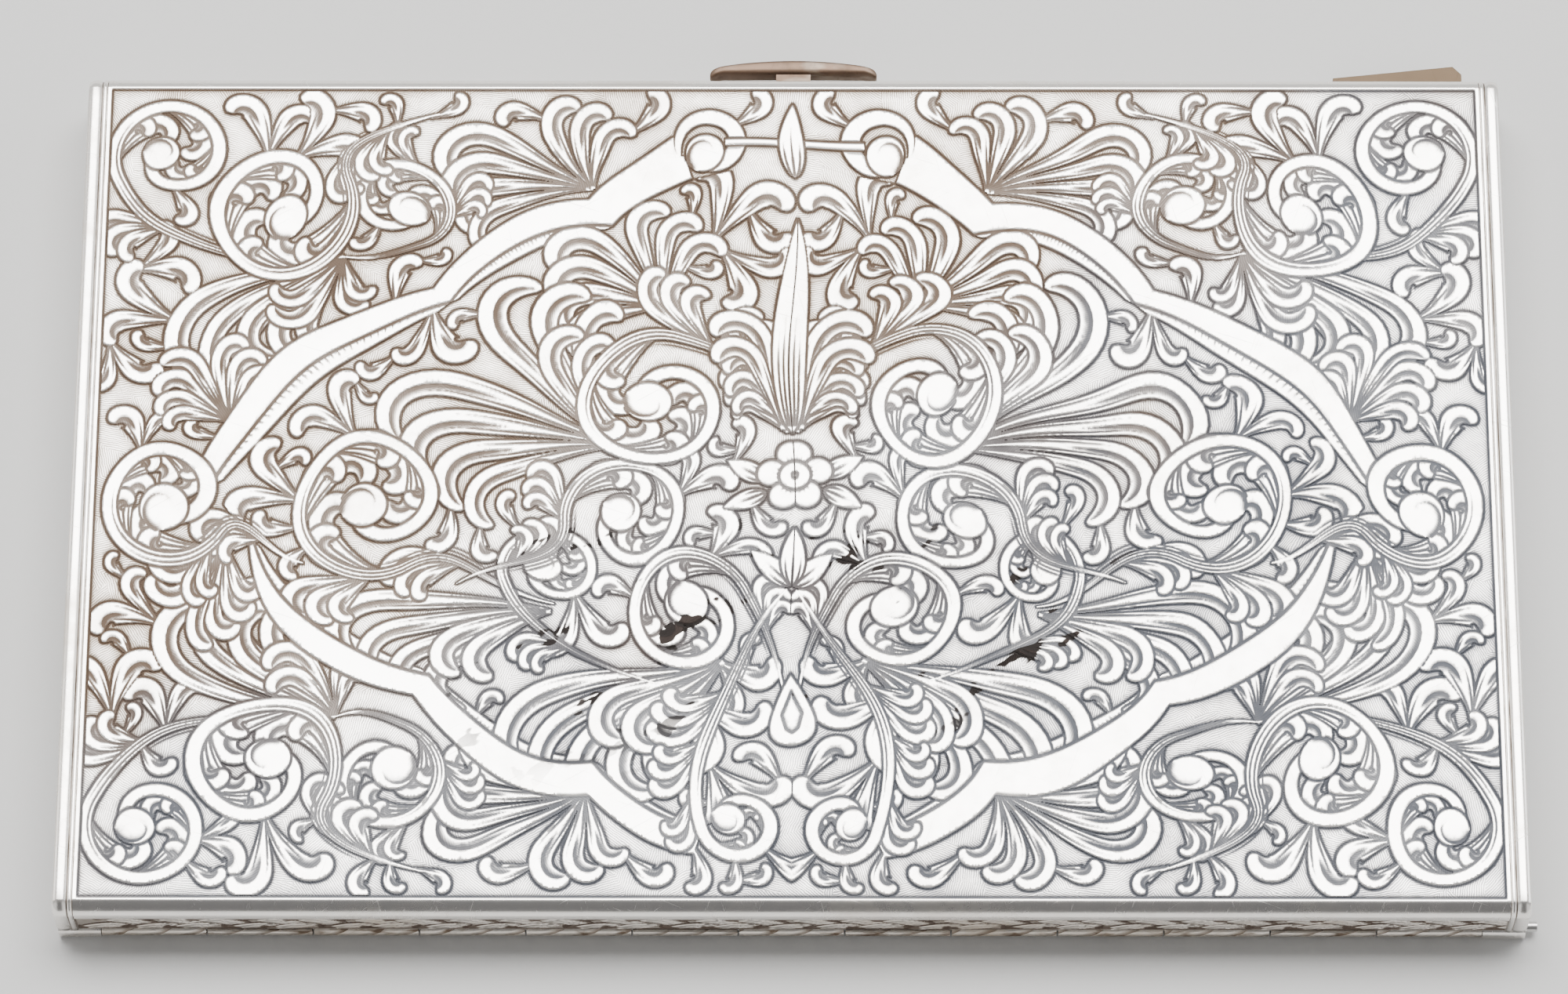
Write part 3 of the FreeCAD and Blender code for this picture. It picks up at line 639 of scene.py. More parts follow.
def fill_in(plate, region):
    """Small curled leaves wherever the ground is still wide, each rooted on the nearest metal."""
    step = 4
    open_ground = plate.ground[::step, ::step] > 0.5
    u, v = np.meshgrid(plate.u[::step], plate.v[::step])
    free = open_ground & region[::step, ::step]
    spots = np.stack([u[free], v[free]], 1)[::4]
    nearest = np.full(len(spots), 1e9)
    rooted = np.full(len(spots), 1e9)
    roots = np.zeros((len(spots), 2))

    def note(rims, metal):
        """Brings the distances up to date; leaves grow from metal only."""
        for low in range(0, len(rims), 300):
            some = rims[low:low + 300]
            gap = ((spots[:, None, :] - some[None]) ** 2).sum(2)
            best = gap.argmin(1)
            value = gap[np.arange(len(spots)), best]
            np.minimum(nearest, value, out=nearest)
            if metal:
                better = value < rooted
                rooted[better] = value[better]
                roots[better] = some[best[better]]

    blocked = ~free
    rim = blocked & (np.roll(free, 1, 0) | np.roll(free, -1, 0) | np.roll(free, 1, 1)
                     | np.roll(free, -1, 1))
    metal_rim = rim & ~open_ground
    note(np.stack([u[metal_rim], v[metal_rim]], 1), True)
    rim &= open_ground
    note(np.stack([u[rim], v[rim]], 1), False)
    kept = plate.clip
    for number in range(MOST_LEAVES):
        widest = int(nearest.argmax())
        space = float(np.sqrt(nearest[widest]))
        if space < LEAST_GAP:
            break
        middle, root = spots[widest], roots[widest]
        toward = np.arctan2(*(middle - root)[::-1])
        side = 1.0 if (number * 7) % 5 < 3 else -1.0
        plate.clip = kept & region & (plate.ground > 0.5)
        size = min(np.hypot(*(middle - root)) + space * 1.5, 6.5)
        start = root - 0.5 * np.array([np.cos(toward), np.sin(toward)])
        if space > 1.7:
            leaf(plate, start, toward - side * 0.55, size, space * 0.7, -side * 0.4, -side * 2.7)
        leaf(plate, start, toward - side * 0.15, size, min(space, 1.9), side * 0.5, side * 2.6)
        still = plate.ground[::step, ::step] > 0.5
        fresh = open_ground & ~still
        open_ground = still
        note(np.stack([u[fresh], v[fresh]], 1), True)
        note(np.array([middle + 0.01]), False)
    plate.clip = kept


def outline_edges(plate):
    """Cuts round every edge of raised metal that has no line yet."""
    raised = plate.ground < 0.5
    near = np.zeros_like(raised)
    for down in (-1, 0, 1):
        for right in (-2, -1, 0, 1, 2):
            near |= np.roll(np.roll(raised, down, 0), right, 1)
    edge = near & ~raised
    edge[[0, 1, -2, -1]] = False
    edge[:, :2] = False
    plate.cut[edge] = np.maximum(plate.cut[edge], CUT_DEPTH * 0.8)


def arc(start, finish, bulge, count=18):
    """An arc from start to finish, bulging to the left of the way by bulge."""
    start, finish = np.array(start, float), np.array(finish, float)
    chord = finish - start
    normal = np.array([-chord[1], chord[0]]) / np.hypot(*chord)
    t = np.linspace(0, 1, count)[:, None]
    return start + chord * t + normal * bulge * 4 * t * (1 - t)


def lobed(arcs):
    """One path through several arcs."""
    return np.vstack([arc(*row) for row in arcs])


# The ribbon's lobes along its two edges: each one's start, finish and bulge.
UPPER_INNER = (
    ((-7.2, 22.6), (-12.4, 18.7), -0.5), ((-12.4, 18.7), (-23.4, 13.0), -2.1),
    ((-23.4, 13.0), (-39.4, -0.6), -2.8))
UPPER_OUTER = (
    ((-8.6, 25.9), (-13.9, 20.9), -0.4), ((-13.9, 20.9), (-24.8, 14.2), -1.95),
    ((-24.8, 14.2), (-40.4, 0.2), -3.4))
LOWER_INNER = (
    ((-36.2, -4.4), (-24.0, -13.9), -2.2), ((-24.0, -13.9), (-13.0, -19.7), -1.75),
    ((-13.0, -19.7), (-5.5, -24.9), -1.0))
LOWER_OUTER = (
    ((-36.6, -4.6), (-25.2, -15.6), -3.0), ((-25.2, -15.6), (-13.5, -22.1), -2.1),
    ((-13.5, -22.1), (-6.4, -26.6), -0.9))
RIBBON_END = ((-39.4, -0.6), (-36.2, -4.4), -0.2)


def ribbon(plate, inner, outer):
    """The cartouche's polished band, one lobe after another."""
    plate.raise_metal(np.vstack([lobed(inner), lobed(outer)[::-1]]))
    for row in outer:
        plate.line(arc(*row), OUTLINE)


def crescents(plate, lobes):
    """A shaded step inside each lobe of the ribbon, cut with short strokes across it."""
    for a, b, bulge in lobes:
        edge_line = arc(a, b, bulge, 40)
        length = np.hypot(b[0] - a[0], b[1] - a[1])
        if length > 9:
            start = np.array(a) + (np.array(b) - a) * 0.05
            finish = np.array(a) + (np.array(b) - a) * 0.95
            crescent = arc(start, finish, bulge * 0.56, 40)
            plate.raise_metal(np.vstack([edge_line, crescent[::-1]]))
            plate.line(crescent, OUTLINE * 1.1 * np.sin(np.linspace(0.08, 0.92, 40) * pi) ** 0.5)
            plate.line(edge_line, OUTLINE * 1.2, lean=-0.42 if bulge < 0 else 0.42)
            strokes = int(length / 0.26)
            for k in range(strokes):
                t = (k + 0.5) / strokes
                at = edge_line[int(t * 39)]
                to = crescent[int(t * 39)]
                reach = 0.35 + 0.5 * abs(sin(k * 2.4)) * sin(pi * t)
                path = at + (to - at) * np.linspace(0, reach, 3)[:, None]
                plate.line(path, OUTLINE * 0.6 * np.array([1, 0.7, 0.1]), CUT_DEPTH * 0.75)


PETALS = 5
PETAL_REACH = 2.35       # mm from the flower's middle


def flower(plate, centre):
    """Round petals about a button, each with three short veins."""
    for k in range(PETALS):
        a = 90 + 360 * k / PETALS + 8
        out = np.array([cos(radians(a)), sin(radians(a))])
        root = np.array(centre) + 0.6 * out
        outline = circle(root + (PETAL_REACH - 0.6) / 2 * out, PETAL_REACH * 0.40, radians(a),
                         2 * pi, 22)
        plate.raise_metal(outline)
        plate.line(outline, OUTLINE, lean=0.28)
        for turn in (-14, 0, 14):
            b = radians(a + turn)
            way = np.array([cos(b), sin(b)])
            path = np.array(centre) + way * np.linspace(0.8, 1.5, 4)[:, None]
            plate.line(path, OUTLINE * 0.7 * np.linspace(1, 0.1, 4))
    plate.raise_metal(circle(centre, 0.98))
    plate.line(circle(centre, 0.98), OUTLINE * 1.1)
    plate.line(circle(centre, 0.18), OUTLINE)


def corner(plate, up):
    """The ornament of one outer corner, for the rear when up is 1 and the front when -1."""
    def at(x, y):
        return (x, y * up)
    root = at(-30.8, 17.0)
    near = at(-13.6, 21.7)
    # a wide fan from the ribbon's first cusp, then leaves under the scrolls, down along the end
    for start, heading, length, bend, side, count, fan, shrink, width in (
            (near, 146, 14.0, 12, 1, 4, 13, 0.06, 1.7), (near, 128, 9.0, 14, -1, 3, 20, 0.12, 1.6),
            (root, 192, 18.0, 24, 1, 3, 12, 0.10, 1.8), (root, 214, 12.5, 18, 1, 3, 13, 0.13, 1.7),
            (root, 246, 8.0, 12, -1, 2, 14, 0.2, 1.5), (root, 268, 5.0, 10, 1, 2, 14, 0.2, 1.3)):
        frond(plate, start, heading * up, length, bend, side * up, count, fan, shrink, width)
    scroll(plate, at(-43.0, 24.4), 4.5, -150 * up, -400 * up, 1.35, 0.95, root, 186 * up, 3, 3,
           ((0.30, 6.5, 20, 3), (0.45, 6, 20, 2)))
    scroll(plate, at(-27.3, 20.9), 3.9, -70 * up, 400 * up, 1.4, 0.85, root, -15 * up, 3, 2,
           ((0.34, 5.0, 25, 3), (0.52, 4.4, 30, 2)))
    scroll(plate, at(-35.4, 20.6), 5.6, 25 * up, -450 * up, 1.55, 1.05, at(-24.4, 27.6), 196 * up,
           4, 3, ((0.08, 6.0, 20, 3), (0.16, 5.2, 20, 2)))
    spray(plate, at(-38.3, 4.6), 118 * up, 7.5, 16, 3, 18, 1.5, 0.16)


def left_panel(side, depth):
    """The corners of the left half's panel, from its front left, a hair past the middle."""
    return np.array([(-side, -depth), (0.1, -depth), (0.1, depth), (-side, depth)])


# root, heading, length, bend, side, lobes, fan, shrink, width
FIELD_FRONDS = (
    ((-8.4, 12.9), 116, 9.5, 8, -1, 3, 22, 0.10, 1.7),
    ((-8.4, 12.9), 134, 11.5, 12, 1, 4, 16, 0.06, 1.8),
    ((-11.6, 2.8), 142, 18.0, 10, -1, 3, 13, 0.14, 1.9),
    ((-11.6, 2.8), 156, 20.5, 8, 1, 4, 11, 0.10, 1.9),
    ((-11.6, 2.8), 136, 12.0, 10, -1, 2, 15, 0.14, 1.6),
    ((-16.6, -9.6), 168, 18.5, 14, 1, 4, 12, 0.12, 1.8),
    ((-16.6, -9.6), 190, 9.5, 14, 1, 2, 14, 0.2, 1.6),
    ((-5.0, -12.6), 190, 20.0, 8, 1, 5, 11, 0.10, 1.9),
    ((-5.0, -12.6), 200, 11.5, 8, 1, 3, 14, 0.12, 1.6),
)
FRAME_PANEL = left_panel(47.2, 29.35)
BORDER_PANEL = left_panel(47.3, 29.42)


def engrave_cover():
    """All the graver's work on the cover's left half, from the corners to the border line."""
    plate = Plate((-COVER_HALF, -COVER_DEPTH), (0.0, COVER_DEPTH), (COVER_CELLS, COVER_CELLS))
    everywhere = plate.clip
    inner_edge = lobed(UPPER_INNER + (RIBBON_END,) + LOWER_INNER)
    inner_area = plate.area(np.vstack([[[0.0, 23.6]], inner_edge, [[0.0, -26.0]]]))
    frame_area = plate.area(FRAME_PANEL)
    # outside the ribbon
    plate.clip = frame_area
    corner(plate, 1)
    corner(plate, -1)
    ribbon(plate, UPPER_INNER, UPPER_OUTER)
    ribbon(plate, LOWER_INNER, LOWER_OUTER)
    # inside it
    plate.clip = frame_area & inner_area
    plate.sink_ground(FRAME_PANEL)
    crescents(plate, UPPER_INNER + LOWER_INNER)
    for row in FIELD_FRONDS:
        frond(plate, *row)
    scroll(plate, (-28.4, -1.2), 5.6, -62, -455, 1.45, 1.0, (-16.4, -9.0), 172, 4, 4,
           ((0.16, 6.5, 20, 3), (0.30, 7.5, 16, 3)))
    scroll(plate, (-16.5, -6.3), 3.5, -160, -400, 1.2, 0.75, (-9.0, -14.2), 165, 3, 2,
           ((0.2, 4.6, 20, 3),))
    scroll(plate, (-11.1, -2.8), 4.7, 178, -400, 1.4, 0.9, (-22.5, -7.4), 30, 3, 4,
           ((0.12, 5.5, 20, 3), (0.28, 5.5, 20, 3)))
    # the palmette over the flower
    frond(plate, (-0.3, 3.4), 97, 11.0, 14, 1, 5, 9, 0.13, 1.6)
    scroll(plate, (-9.3, 6.1), 5.5, 68, 450, 1.5, 1.0, (-0.7, 3.6), 96, 4, 4,
           ((0.10, 7.0, 16, 3), (0.20, 8.0, 12, 3)))
    frond(plate, (-0.5, 4.0), 103, 8.5, 30, 1, 3, 13, 0.2, 1.4)
    frond(plate, (-0.6, 3.6), 98, 12.0, 10, 1, 2, 9, 0.18, 1.7)
    pointed(plate, (0.0, 3.2), 90, 16.4, 2.7, 5)
    scroll(plate, (-6.9, -9.4), 4.6, 20, 440, 1.45, 0.95, (-0.5, -15.2), 102, 3, 3,
           ((0.14, 5.0, 20, 3),))
    for a, reach in ((150, 3.2), (205, 3.0)):
        pointed(plate, (-1.7, 0.2 if a < 180 else -0.6), a, reach, 1.4, 3)
    flower(plate, (0.0, 0.4))
    for a in (138, 90):
        pointed(plate, (0.0, -7.2), a, 4.2 if a == 90 else 3.6, 1.7, 3)
    fill_in(plate, plate.clip)
    # pieces that cross the ribbon
    plate.clip = frame_area
    for row in UPPER_INNER + LOWER_INNER:
        plate.line(arc(*row, 40), OUTLINE * 1.25)
    scroll(plate, (-3.3, -24.4), 2.9, 190, 340, 1.1, 0.95, (-0.3, -7.4), 232, 2, 3,
           ((0.26, 7.0, 14, 3), (0.40, 6.0, 14, 3), (0.52, 5.0, 14, 2)))
    drop = lobed((((0.1, -13.6), (-1.5, -16.9), -0.2), ((-1.5, -16.9), (0.1, -18.9), -0.7)))
    plate.raise_metal(np.vstack([drop, [[0.1, -16.0]]]))
    plate.line(drop, OUTLINE * 1.1)
    plate.line(np.array([(0.0, -15.0), (-0.7, -16.6), (-0.4, -17.6), (0.0, -17.9)]), OUTLINE,
               lean=0.4)
    scroll(plate, (-42.2, -1.2), 5.0, -35, -430, 1.65, 1.15, (-32.6, -5.6), 176, 4, 3,
           ((0.10, 6.0, 14, 3), (0.24, 5.0, 20, 2)))
    scroll(plate, (-5.9, 25.0), 3.1, 195, -330, 1.45, 1.35, None, 0, 0, 0)
    bar_shape = np.array([(-4.9, 24.85), (0.1, 24.85), (0.1, 25.5), (-4.9, 25.5)])
    plate.raise_metal(bar_shape)
    plate.line(bar_shape[:2], OUTLINE)
    plate.line(bar_shape[2:], OUTLINE)
    pointed(plate, (0.0, 22.4), 90, 6.0, 1.8, 3)
    fill_in(plate, frame_area & ~inner_area)
    plate.clip = everywhere
    border = BORDER_PANEL[[2, 3, 0, 1]]
    for start, finish in zip(border[:-1], border[1:]):
        plate.line(np.array([start, finish]), OUTLINE * 0.8)
    outline_edges(plate)
    plate.ground[~plate.area(BORDER_PANEL)] = 0.0
    return plate


def fine_where_cut(height, cells, tolerance):
    """Triangles over a square grid of heights, small only where the heights need it.

    Every triangle is split at the middle of its long side until the height there is right to
    within tolerance; a side is split for both its triangles, so no crack opens.
    """
    wide = cells + 1
    flat = height.ravel()
    far = cells * wide
    corners = np.array([[0, far + cells, cells], [far + cells, 0, far]])
    levels = []
    for _ in range(2 * int(np.log2(cells))):
        first, last, square = corners.T
        middle = ((first // wide + last // wide) // 2) * wide + (first % wide + last % wide) // 2
        levels.append((corners, middle))
        corners = np.concatenate([np.stack([square, first, middle], 1),
                                  np.stack([last, square, middle], 1)])
    error = np.zeros(len(flat), np.float32)
    below = None
    for corners_here, middle in reversed(levels):
        miss = np.abs(flat[middle] - (flat[corners_here[:, 0]] + flat[corners_here[:, 1]]) / 2)
        if below is not None:
            miss = np.maximum(miss, np.maximum(*np.split(error[below], 2)))
        np.maximum.at(error, middle, miss)
        below = middle
    kept = []
    live = np.arange(2)
    for corners_here, middle in levels:
        split = error[middle[live]] > tolerance
        kept.append(corners_here[live[~split]])
        live = np.concatenate([live[split], live[split] + len(corners_here)])
    kept.append(corners[live])
    return np.concatenate(kept)


def spread(mask, reach):
    """The mean of a mask over the square of cells within reach of each."""
    wide = 2 * reach + 1
    for axis in (0, 1):
        margins = [(reach + 1, reach) if side == axis else (0, 0) for side in (0, 1)]
        run = np.cumsum(np.pad(mask, margins, "edge"), axis=axis, dtype=np.float64)
        ahead = np.take(run, np.arange(wide, run.shape[axis]), axis)
        behind = np.take(run, np.arange(run.shape[axis] - wide), axis)
        mask = (ahead - behind) / wide
    return mask


def engraved_sheet(plate, tolerance):
    """Points and triangles of the whole engraved top, from its left half."""
    cut = plate.cut
    soft = (cut + np.roll(cut, 1, 0) + np.roll(cut, -1, 0) + np.roll(cut, 1, 1)
            + np.roll(cut, -1, 1)) / 5
    # the ground is cut deepest beside the leaves and rises between them
    beside_metal = spread(spread(1.0 - plate.ground, 8), 6)
    ground = (plate.ground * np.clip(0.5 + 1.1 * beside_metal, 0, 1)).astype(np.float32)
    height = -(ground * GROUND_DEPTH + soft)
    height[[0, -1]] = 0.0
    height[:, 0] = 0.0
    triangles = fine_where_cut(height, COVER_CELLS, tolerance)
    used, index = np.unique(triangles, return_inverse=True)
    triangles = index.reshape(triangles.shape)
    row, column = np.divmod(used, COVER_CELLS + 1)
    x = plate.u[column]
    y = plate.v[row]
    z = height.ravel()[used]
    count = len(used)
    centre = column == COVER_CELLS
    mirror = np.arange(count)
    mirror[~centre] = count + np.arange((~centre).sum())
    points = np.stack([np.concatenate([x, -x[~centre]]), np.concatenate([y, y[~centre]]),
                       np.concatenate([z, z[~centre]])], 1)
    faces = np.concatenate([triangles, mirror[triangles][:, ::-1]])
    a, b, c = points[faces[:, 0]], points[faces[:, 1]], points[faces[:, 2]]
    if np.cross(b - a, c - a)[0, 2] < 0:
        faces = faces[:, ::-1]
    # the ground mark carries the same values, so the ground's colour is also painted darker beside
    # the leaves as painted shade
    marks = [np.concatenate([kind.ravel()[used], kind.ravel()[used][~centre]])
             for kind in (soft / CUT_DEPTH, ground)]
    return points, faces, marks


TOLERANCE = 0.01         # mm, how far a triangle may leave the engraved height
STRAIGHT_BORDER = 6.0    # mm over which the unevenness dies out towards the edges
plate = engrave_cover()
points, faces, (cut_marks, ground_marks) = engraved_sheet(plate, TOLERANCE)

# The engraving is a little uneven, as a hand leaves it; the borders stay straight.
x, y = points[:, 0], points[:, 1]
ease = (np.clip((COVER_HALF - abs(x)) / STRAIGHT_BORDER, 0, 1)
        * np.clip((COVER_DEPTH - abs(y)) / STRAIGHT_BORDER, 0, 1))
ease = ease * ease * (3 - 2 * ease)
points[:, 0] += ease * 0.22 * (np.sin(0.21 * x + 0.33 * y + 1.0) + np.sin(0.47 * x - 0.29 * y))
points[:, 1] += ease * 0.20 * (np.sin(0.17 * x - 0.26 * y + 2.0) + np.sin(0.41 * x + 0.37 * y))

cover_low, cover_high = node_box("lid_cover")
TOP = cover_high[2]
LIP = cover_low[2]
EDGE = cover_high[1]
ROLL = 0.9
ROLL_FLATTEN = 1.25      # power that flattens the middle of the roll; 1 is a plain quarter round
ROLL_INSIDE = 0.3
SHEET = 0.6
points[:, 2] += TOP
flat_face = np.ptp(points[faces][:, :, 2], axis=1) < 1e-5


def roll_points(row, front):
    """Columns of points round a rolled edge, from the flat down to the lip."""
    side = -1 if front else 1
    angle = np.linspace(0, pi / 2, 13)[1:]
    out = []
    for x in row:
        for a in angle:
            out.append((x, side * (EDGE - ROLL + ROLL * sin(a) ** ROLL_FLATTEN),
                        TOP - ROLL + ROLL * max(cos(a), 0) ** ROLL_FLATTEN))
        out.append((x, side * EDGE, LIP))
    return out, len(angle) + 1


all_points = [tuple(point) for point in points]
all_faces = [tuple(face) for face in faces.tolist()]
shell_from = len(all_faces)
boundary = {}
for front in (True, False):
    limit = -COVER_DEPTH if front else COVER_DEPTH
    on_edge = np.flatnonzero(abs(points[:, 1] - limit) < 1e-6)
    on_edge = on_edge[np.argsort(points[on_edge, 0])]
    start = len(all_points)
    ring, deep = roll_points(points[on_edge, 0], front)
    all_points += ring
    columns = [[int(top)] + [start + k * deep + j for j in range(deep)]
               for k, top in enumerate(on_edge)]
    for left, right in zip(columns[:-1], columns[1:]):
        for j in range(deep):
            quad = (left[j], left[j + 1], right[j + 1], right[j])
            all_faces.append(quad if front else quad[::-1])
    boundary[front] = columns
inner = []
turn = np.linspace(0, pi / 2, 5)
wall = EDGE - SHEET
ceiling = TOP - SHEET
for side in (-1, 1):
    bend = [(side * (wall - ROLL_INSIDE + ROLL_INSIDE * sin(a)),
             ceiling - ROLL_INSIDE + ROLL_INSIDE * cos(a)) for a in turn]
    inner.append([(side * wall, LIP)] + bend[::-1])
section = inner[0] + inner[1][::-1]        # from the front lip over to the rear lip, inside
first = len(all_points)
for end in (-COVER_HALF, COVER_HALF):
    all_points += [(end, y, z) for y, z in section]
n = len(section)
for k in range(n - 1):
    all_faces.append((first + k, first + n + k, first + n + k + 1, first + k + 1)[::-1])
# the lips along both long sides
front_lip = [column[-1] for column in boundary[True]]
rear_lip = [column[-1] for column in boundary[False]]
all_faces.append(tuple(front_lip[::-1]) + (first, first + n))
all_faces.append(tuple(rear_lip) + (first + 2 * n - 1, first + n - 1))
# the sheet's edge at both short ends
for end, which in ((0, -COVER_HALF), (-1, COVER_HALF)):
    on_end = np.flatnonzero(abs(points[:, 0] - which) < 1e-6)
    on_end = on_end[np.argsort(points[on_end, 1])].tolist()
    loop = boundary[True][end][:0:-1] + on_end + boundary[False][end][1:]
    inside = [first + (0 if end == 0 else n) + k for k in range(n)]
    loop = tuple(loop + inside[::-1])
    all_faces.append(loop[::-1] if end == 0 else loop)

TOP_REACH = 0.3          # mm under the top that still belongs to the engraved face
GILT_REACH = 0.55        # mm under the top where the gilt inside begins
GILT_DEPTH = 29.92       # mm, half the gilt inside's depth
cut_silver = polished("engraved_silver", SILVER, SILVER_TARNISHED, 0.2, 0.35)
here = cut_silver.place()
down = TOP - here["Z"]
top_face = down < TOP_REACH
cut_mark = cut_silver.mark("cut")
scoop = cut_silver.ramp(cut_mark, 0.03, 0.40)
deep_cut = cut_silver.ramp(cut_mark, 0.10, 0.50)
# The ground mark is strongest beside the leaves. On top of its hatching and tarnish, the ground is
# painted darker there as shade.
ground = cut_silver.mark("ground")

# Hatching in the ground: patches of fine parallel cuts, each patch at its own angle.
HATCH_PITCH = 0.15
patch = cut_silver.node("TexVoronoi", {"feature": "F1"},
                        {"Vector": here, "Scale": 0.42, "Randomness": 1.0}, "Color")
angle = patch["X"] * 3.14
wobble = cut_silver.noise(1.2, 2) * 0.25
across = (here["X"] * cut_silver.maths("COSINE", angle)
          + here["Y"] * cut_silver.maths("SINE", angle) + wobble)
hatch = cut_silver.ramp(cut_silver.maths("SINE", across * (2 * pi / HATCH_PITCH)), 0.0, 0.9)

# Old polish and tarnish in the cuts: brown at the upper left, blue-grey at the lower right.
CUT_BROWN = colour(0.115, 0.075, 0.05)
CUT_GREY = colour(0.085, 0.09, 0.105)
GROUND_BROWN = colour(0.33, 0.255, 0.19)
GROUND_GREY = colour(0.30, 0.30, 0.32)
BLACK_TARNISH = colour(0.025, 0.02, 0.018)
warm = cut_silver.ramp(here["X"] * -0.012 + here["Y"] * 0.02 + cut_silver.noise(0.07, 3) * 1.2,
                       0.35, 0.85)
dark = cut_silver.mix(warm, CUT_GREY, CUT_BROWN)
field = cut_silver.mix(warm, GROUND_GREY, GROUND_BROWN)
dirty = cut_silver.ramp(cut_silver.noise(0.25, 4) * 0.8 + cut_silver.noise(0.05, 2) * 0.5,
                        0.45, 0.85)
# Hatch lines and tarnish in the sunk ground. The soft scoops beside the cuts get painted shade
# with hatch lines over it: they are toned toward the ground's colour to darken those hollows.
hatched_and_shaded = cut_silver.clamp(ground * (hatch * 0.50 + 0.36 + dirty * 0.45)
                           + scoop * (hatch * 0.38 + 0.36))
shade = cut_silver.clamp(deep_cut * (dirty * 0.25 + 0.78))
blot = cut_silver.noise(0.30, 3, (0.55, 1, 1), (0, 0, 0.5))
belt = (cut_silver.ramp(abs(here["Y"] + 10.0), 13.0, 5.0)
        * cut_silver.ramp(abs(here["X"]), 27.0, 20.0))
low_left = cut_silver.ramp(here["X"], 20.0, -18.0) * 0.06
black = cut_silver.ramp(blot + low_left + deep_cut * 0.03, 0.675, 0.69) * belt * top_face
tone = cut_silver.mix(hatched_and_shaded, cut_silver.tone, field)
tone = cut_silver.mix(shade, tone, dark)
tone = cut_silver.mix(black, tone, BLACK_TARNISH)
inside_gilt = (down > GILT_REACH) * (abs(here["Y"]) < GILT_DEPTH)
tone = cut_silver.mix(inside_gilt, tone, GILT)
cut_silver.done(
    Base_Color=tone,
    Roughness=cut_silver.rough + shade * 0.3 + hatched_and_shaded * 0.32 + black * 0.3,
    Metallic=1.0 - shade * 0.6 - hatched_and_shaded * 0.2,
    Normal=cut_silver.bump(hatch * ground, -0.03, 0.8, cut_silver.relief))


def write_mark(piece, name, values):
    """Notes a number at each of a piece's points, for its finish to read."""
    marks = piece.data.attributes.new(name, "FLOAT", "POINT")
    marks.data.foreach_set("value", np.asarray(values, np.float32))


cover = mesh_piece("lid_cover_engraved", all_points, all_faces, cut_silver.material, "lid")
smooth = np.ones(len(all_faces), bool)
smooth[:shell_from] = ~flat_face
cover.data.polygons.foreach_set("use_smooth", smooth)
for name, values in (("cut", cut_marks), ("ground", ground_marks)):
    write_mark(cover, name, np.pad(values, (0, len(all_points) - len(values))))
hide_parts("lid_cover")

# ======== Lid strips ========
# Two strips of silver soldered under the lid's rolled edges, cut by hand with a running band of
# laurel: each leaf is outlined and ribbed, and a wedge is nicked out of the ground at its tip.

STRIP_SHEET = 0.2        # mm, kept thin so that the clasp's teeth find their pockets
LAUREL_PITCH = 3.25
LAUREL_DEPTH = 0.07
LAUREL_SOIL = colour(0.11, 0.08, 0.06)
NOTCH_OVER = 0.3         # mm of clear room over a stem that passes the rear strip
TAB_NECK = 1.6           # mm, half the width of the tab's neck


def laurel(low, high, cells):
    """A running band of leaves between two lines."""
    band = Plate(low, high, cells)
    middle = (low[1] + high[1]) / 2
    tall = high[1] - low[1]
    count = int((high[0] - low[0]) / LAUREL_PITCH) + 2
    for k in range(count):
        x = low[0] + (k + 0.25) * LAUREL_PITCH + 0.35 * sin(k * 2.7)
        for row, shift in ((-1, 0.0), (1, 0.5)):
            start = (x + (shift + 0.9) * LAUREL_PITCH, middle + row * 0.04 * tall)
            pointed(band, start, 180 - row * (9 + 2 * sin(k * 1.9)), LAUREL_PITCH * 1.25,
                    tall * 0.40, 3, -row * 8)
            tip = np.array((x + (shift - 0.30) * LAUREL_PITCH, middle + row * 0.30 * tall))
            nick = tip + np.array([(0.0, 0.0), (0.6, row * 0.10), (1.2, row * 0.04)])
            band.line(nick, np.array([0.75, 0.48, 0.04]), CUT_DEPTH * 1.8)
    for height in (low[1] + 0.12, high[1] - 0.12):
        band.line(np.array([(low[0], height), (high[0], height)]), OUTLINE * 1.1)
    return band


laurel_silver = polished("laurel_silver", SILVER_SOILED, SILVER_TARNISHED, 0.26, 0.9)
soil = laurel_silver.clamp(laurel_silver.ramp(laurel_silver.mark("cut"), 0.12, 0.7) * 0.95
                           + laurel_silver.mark("ground") * 0.62)
laurel_silver.done(
    Base_Color=laurel_silver.mix(soil, laurel_silver.tone, LAUREL_SOIL),
    Metallic=1.0 - soil * 0.5,
    Roughness=laurel_silver.rough + soil * 0.3)


def quads(cells, wide, flip):
    """Four-sided faces on a grid of points, wide to the row, for each row and column given."""
    out = []
    for row, column in cells:
        a = int(row * wide + column)
        quad = (a, a + 1, a + wide + 1, a + wide)
        out.append(quad[::-1] if flip else quad)
    return out


def thicken(piece, thickness):
    """Gives a skin the thickness of its sheet, on its inner side."""
    sheet = piece.modifiers.new("sheet", "SOLIDIFY")
    sheet.thickness = thickness * MM
    sheet.offset = -1


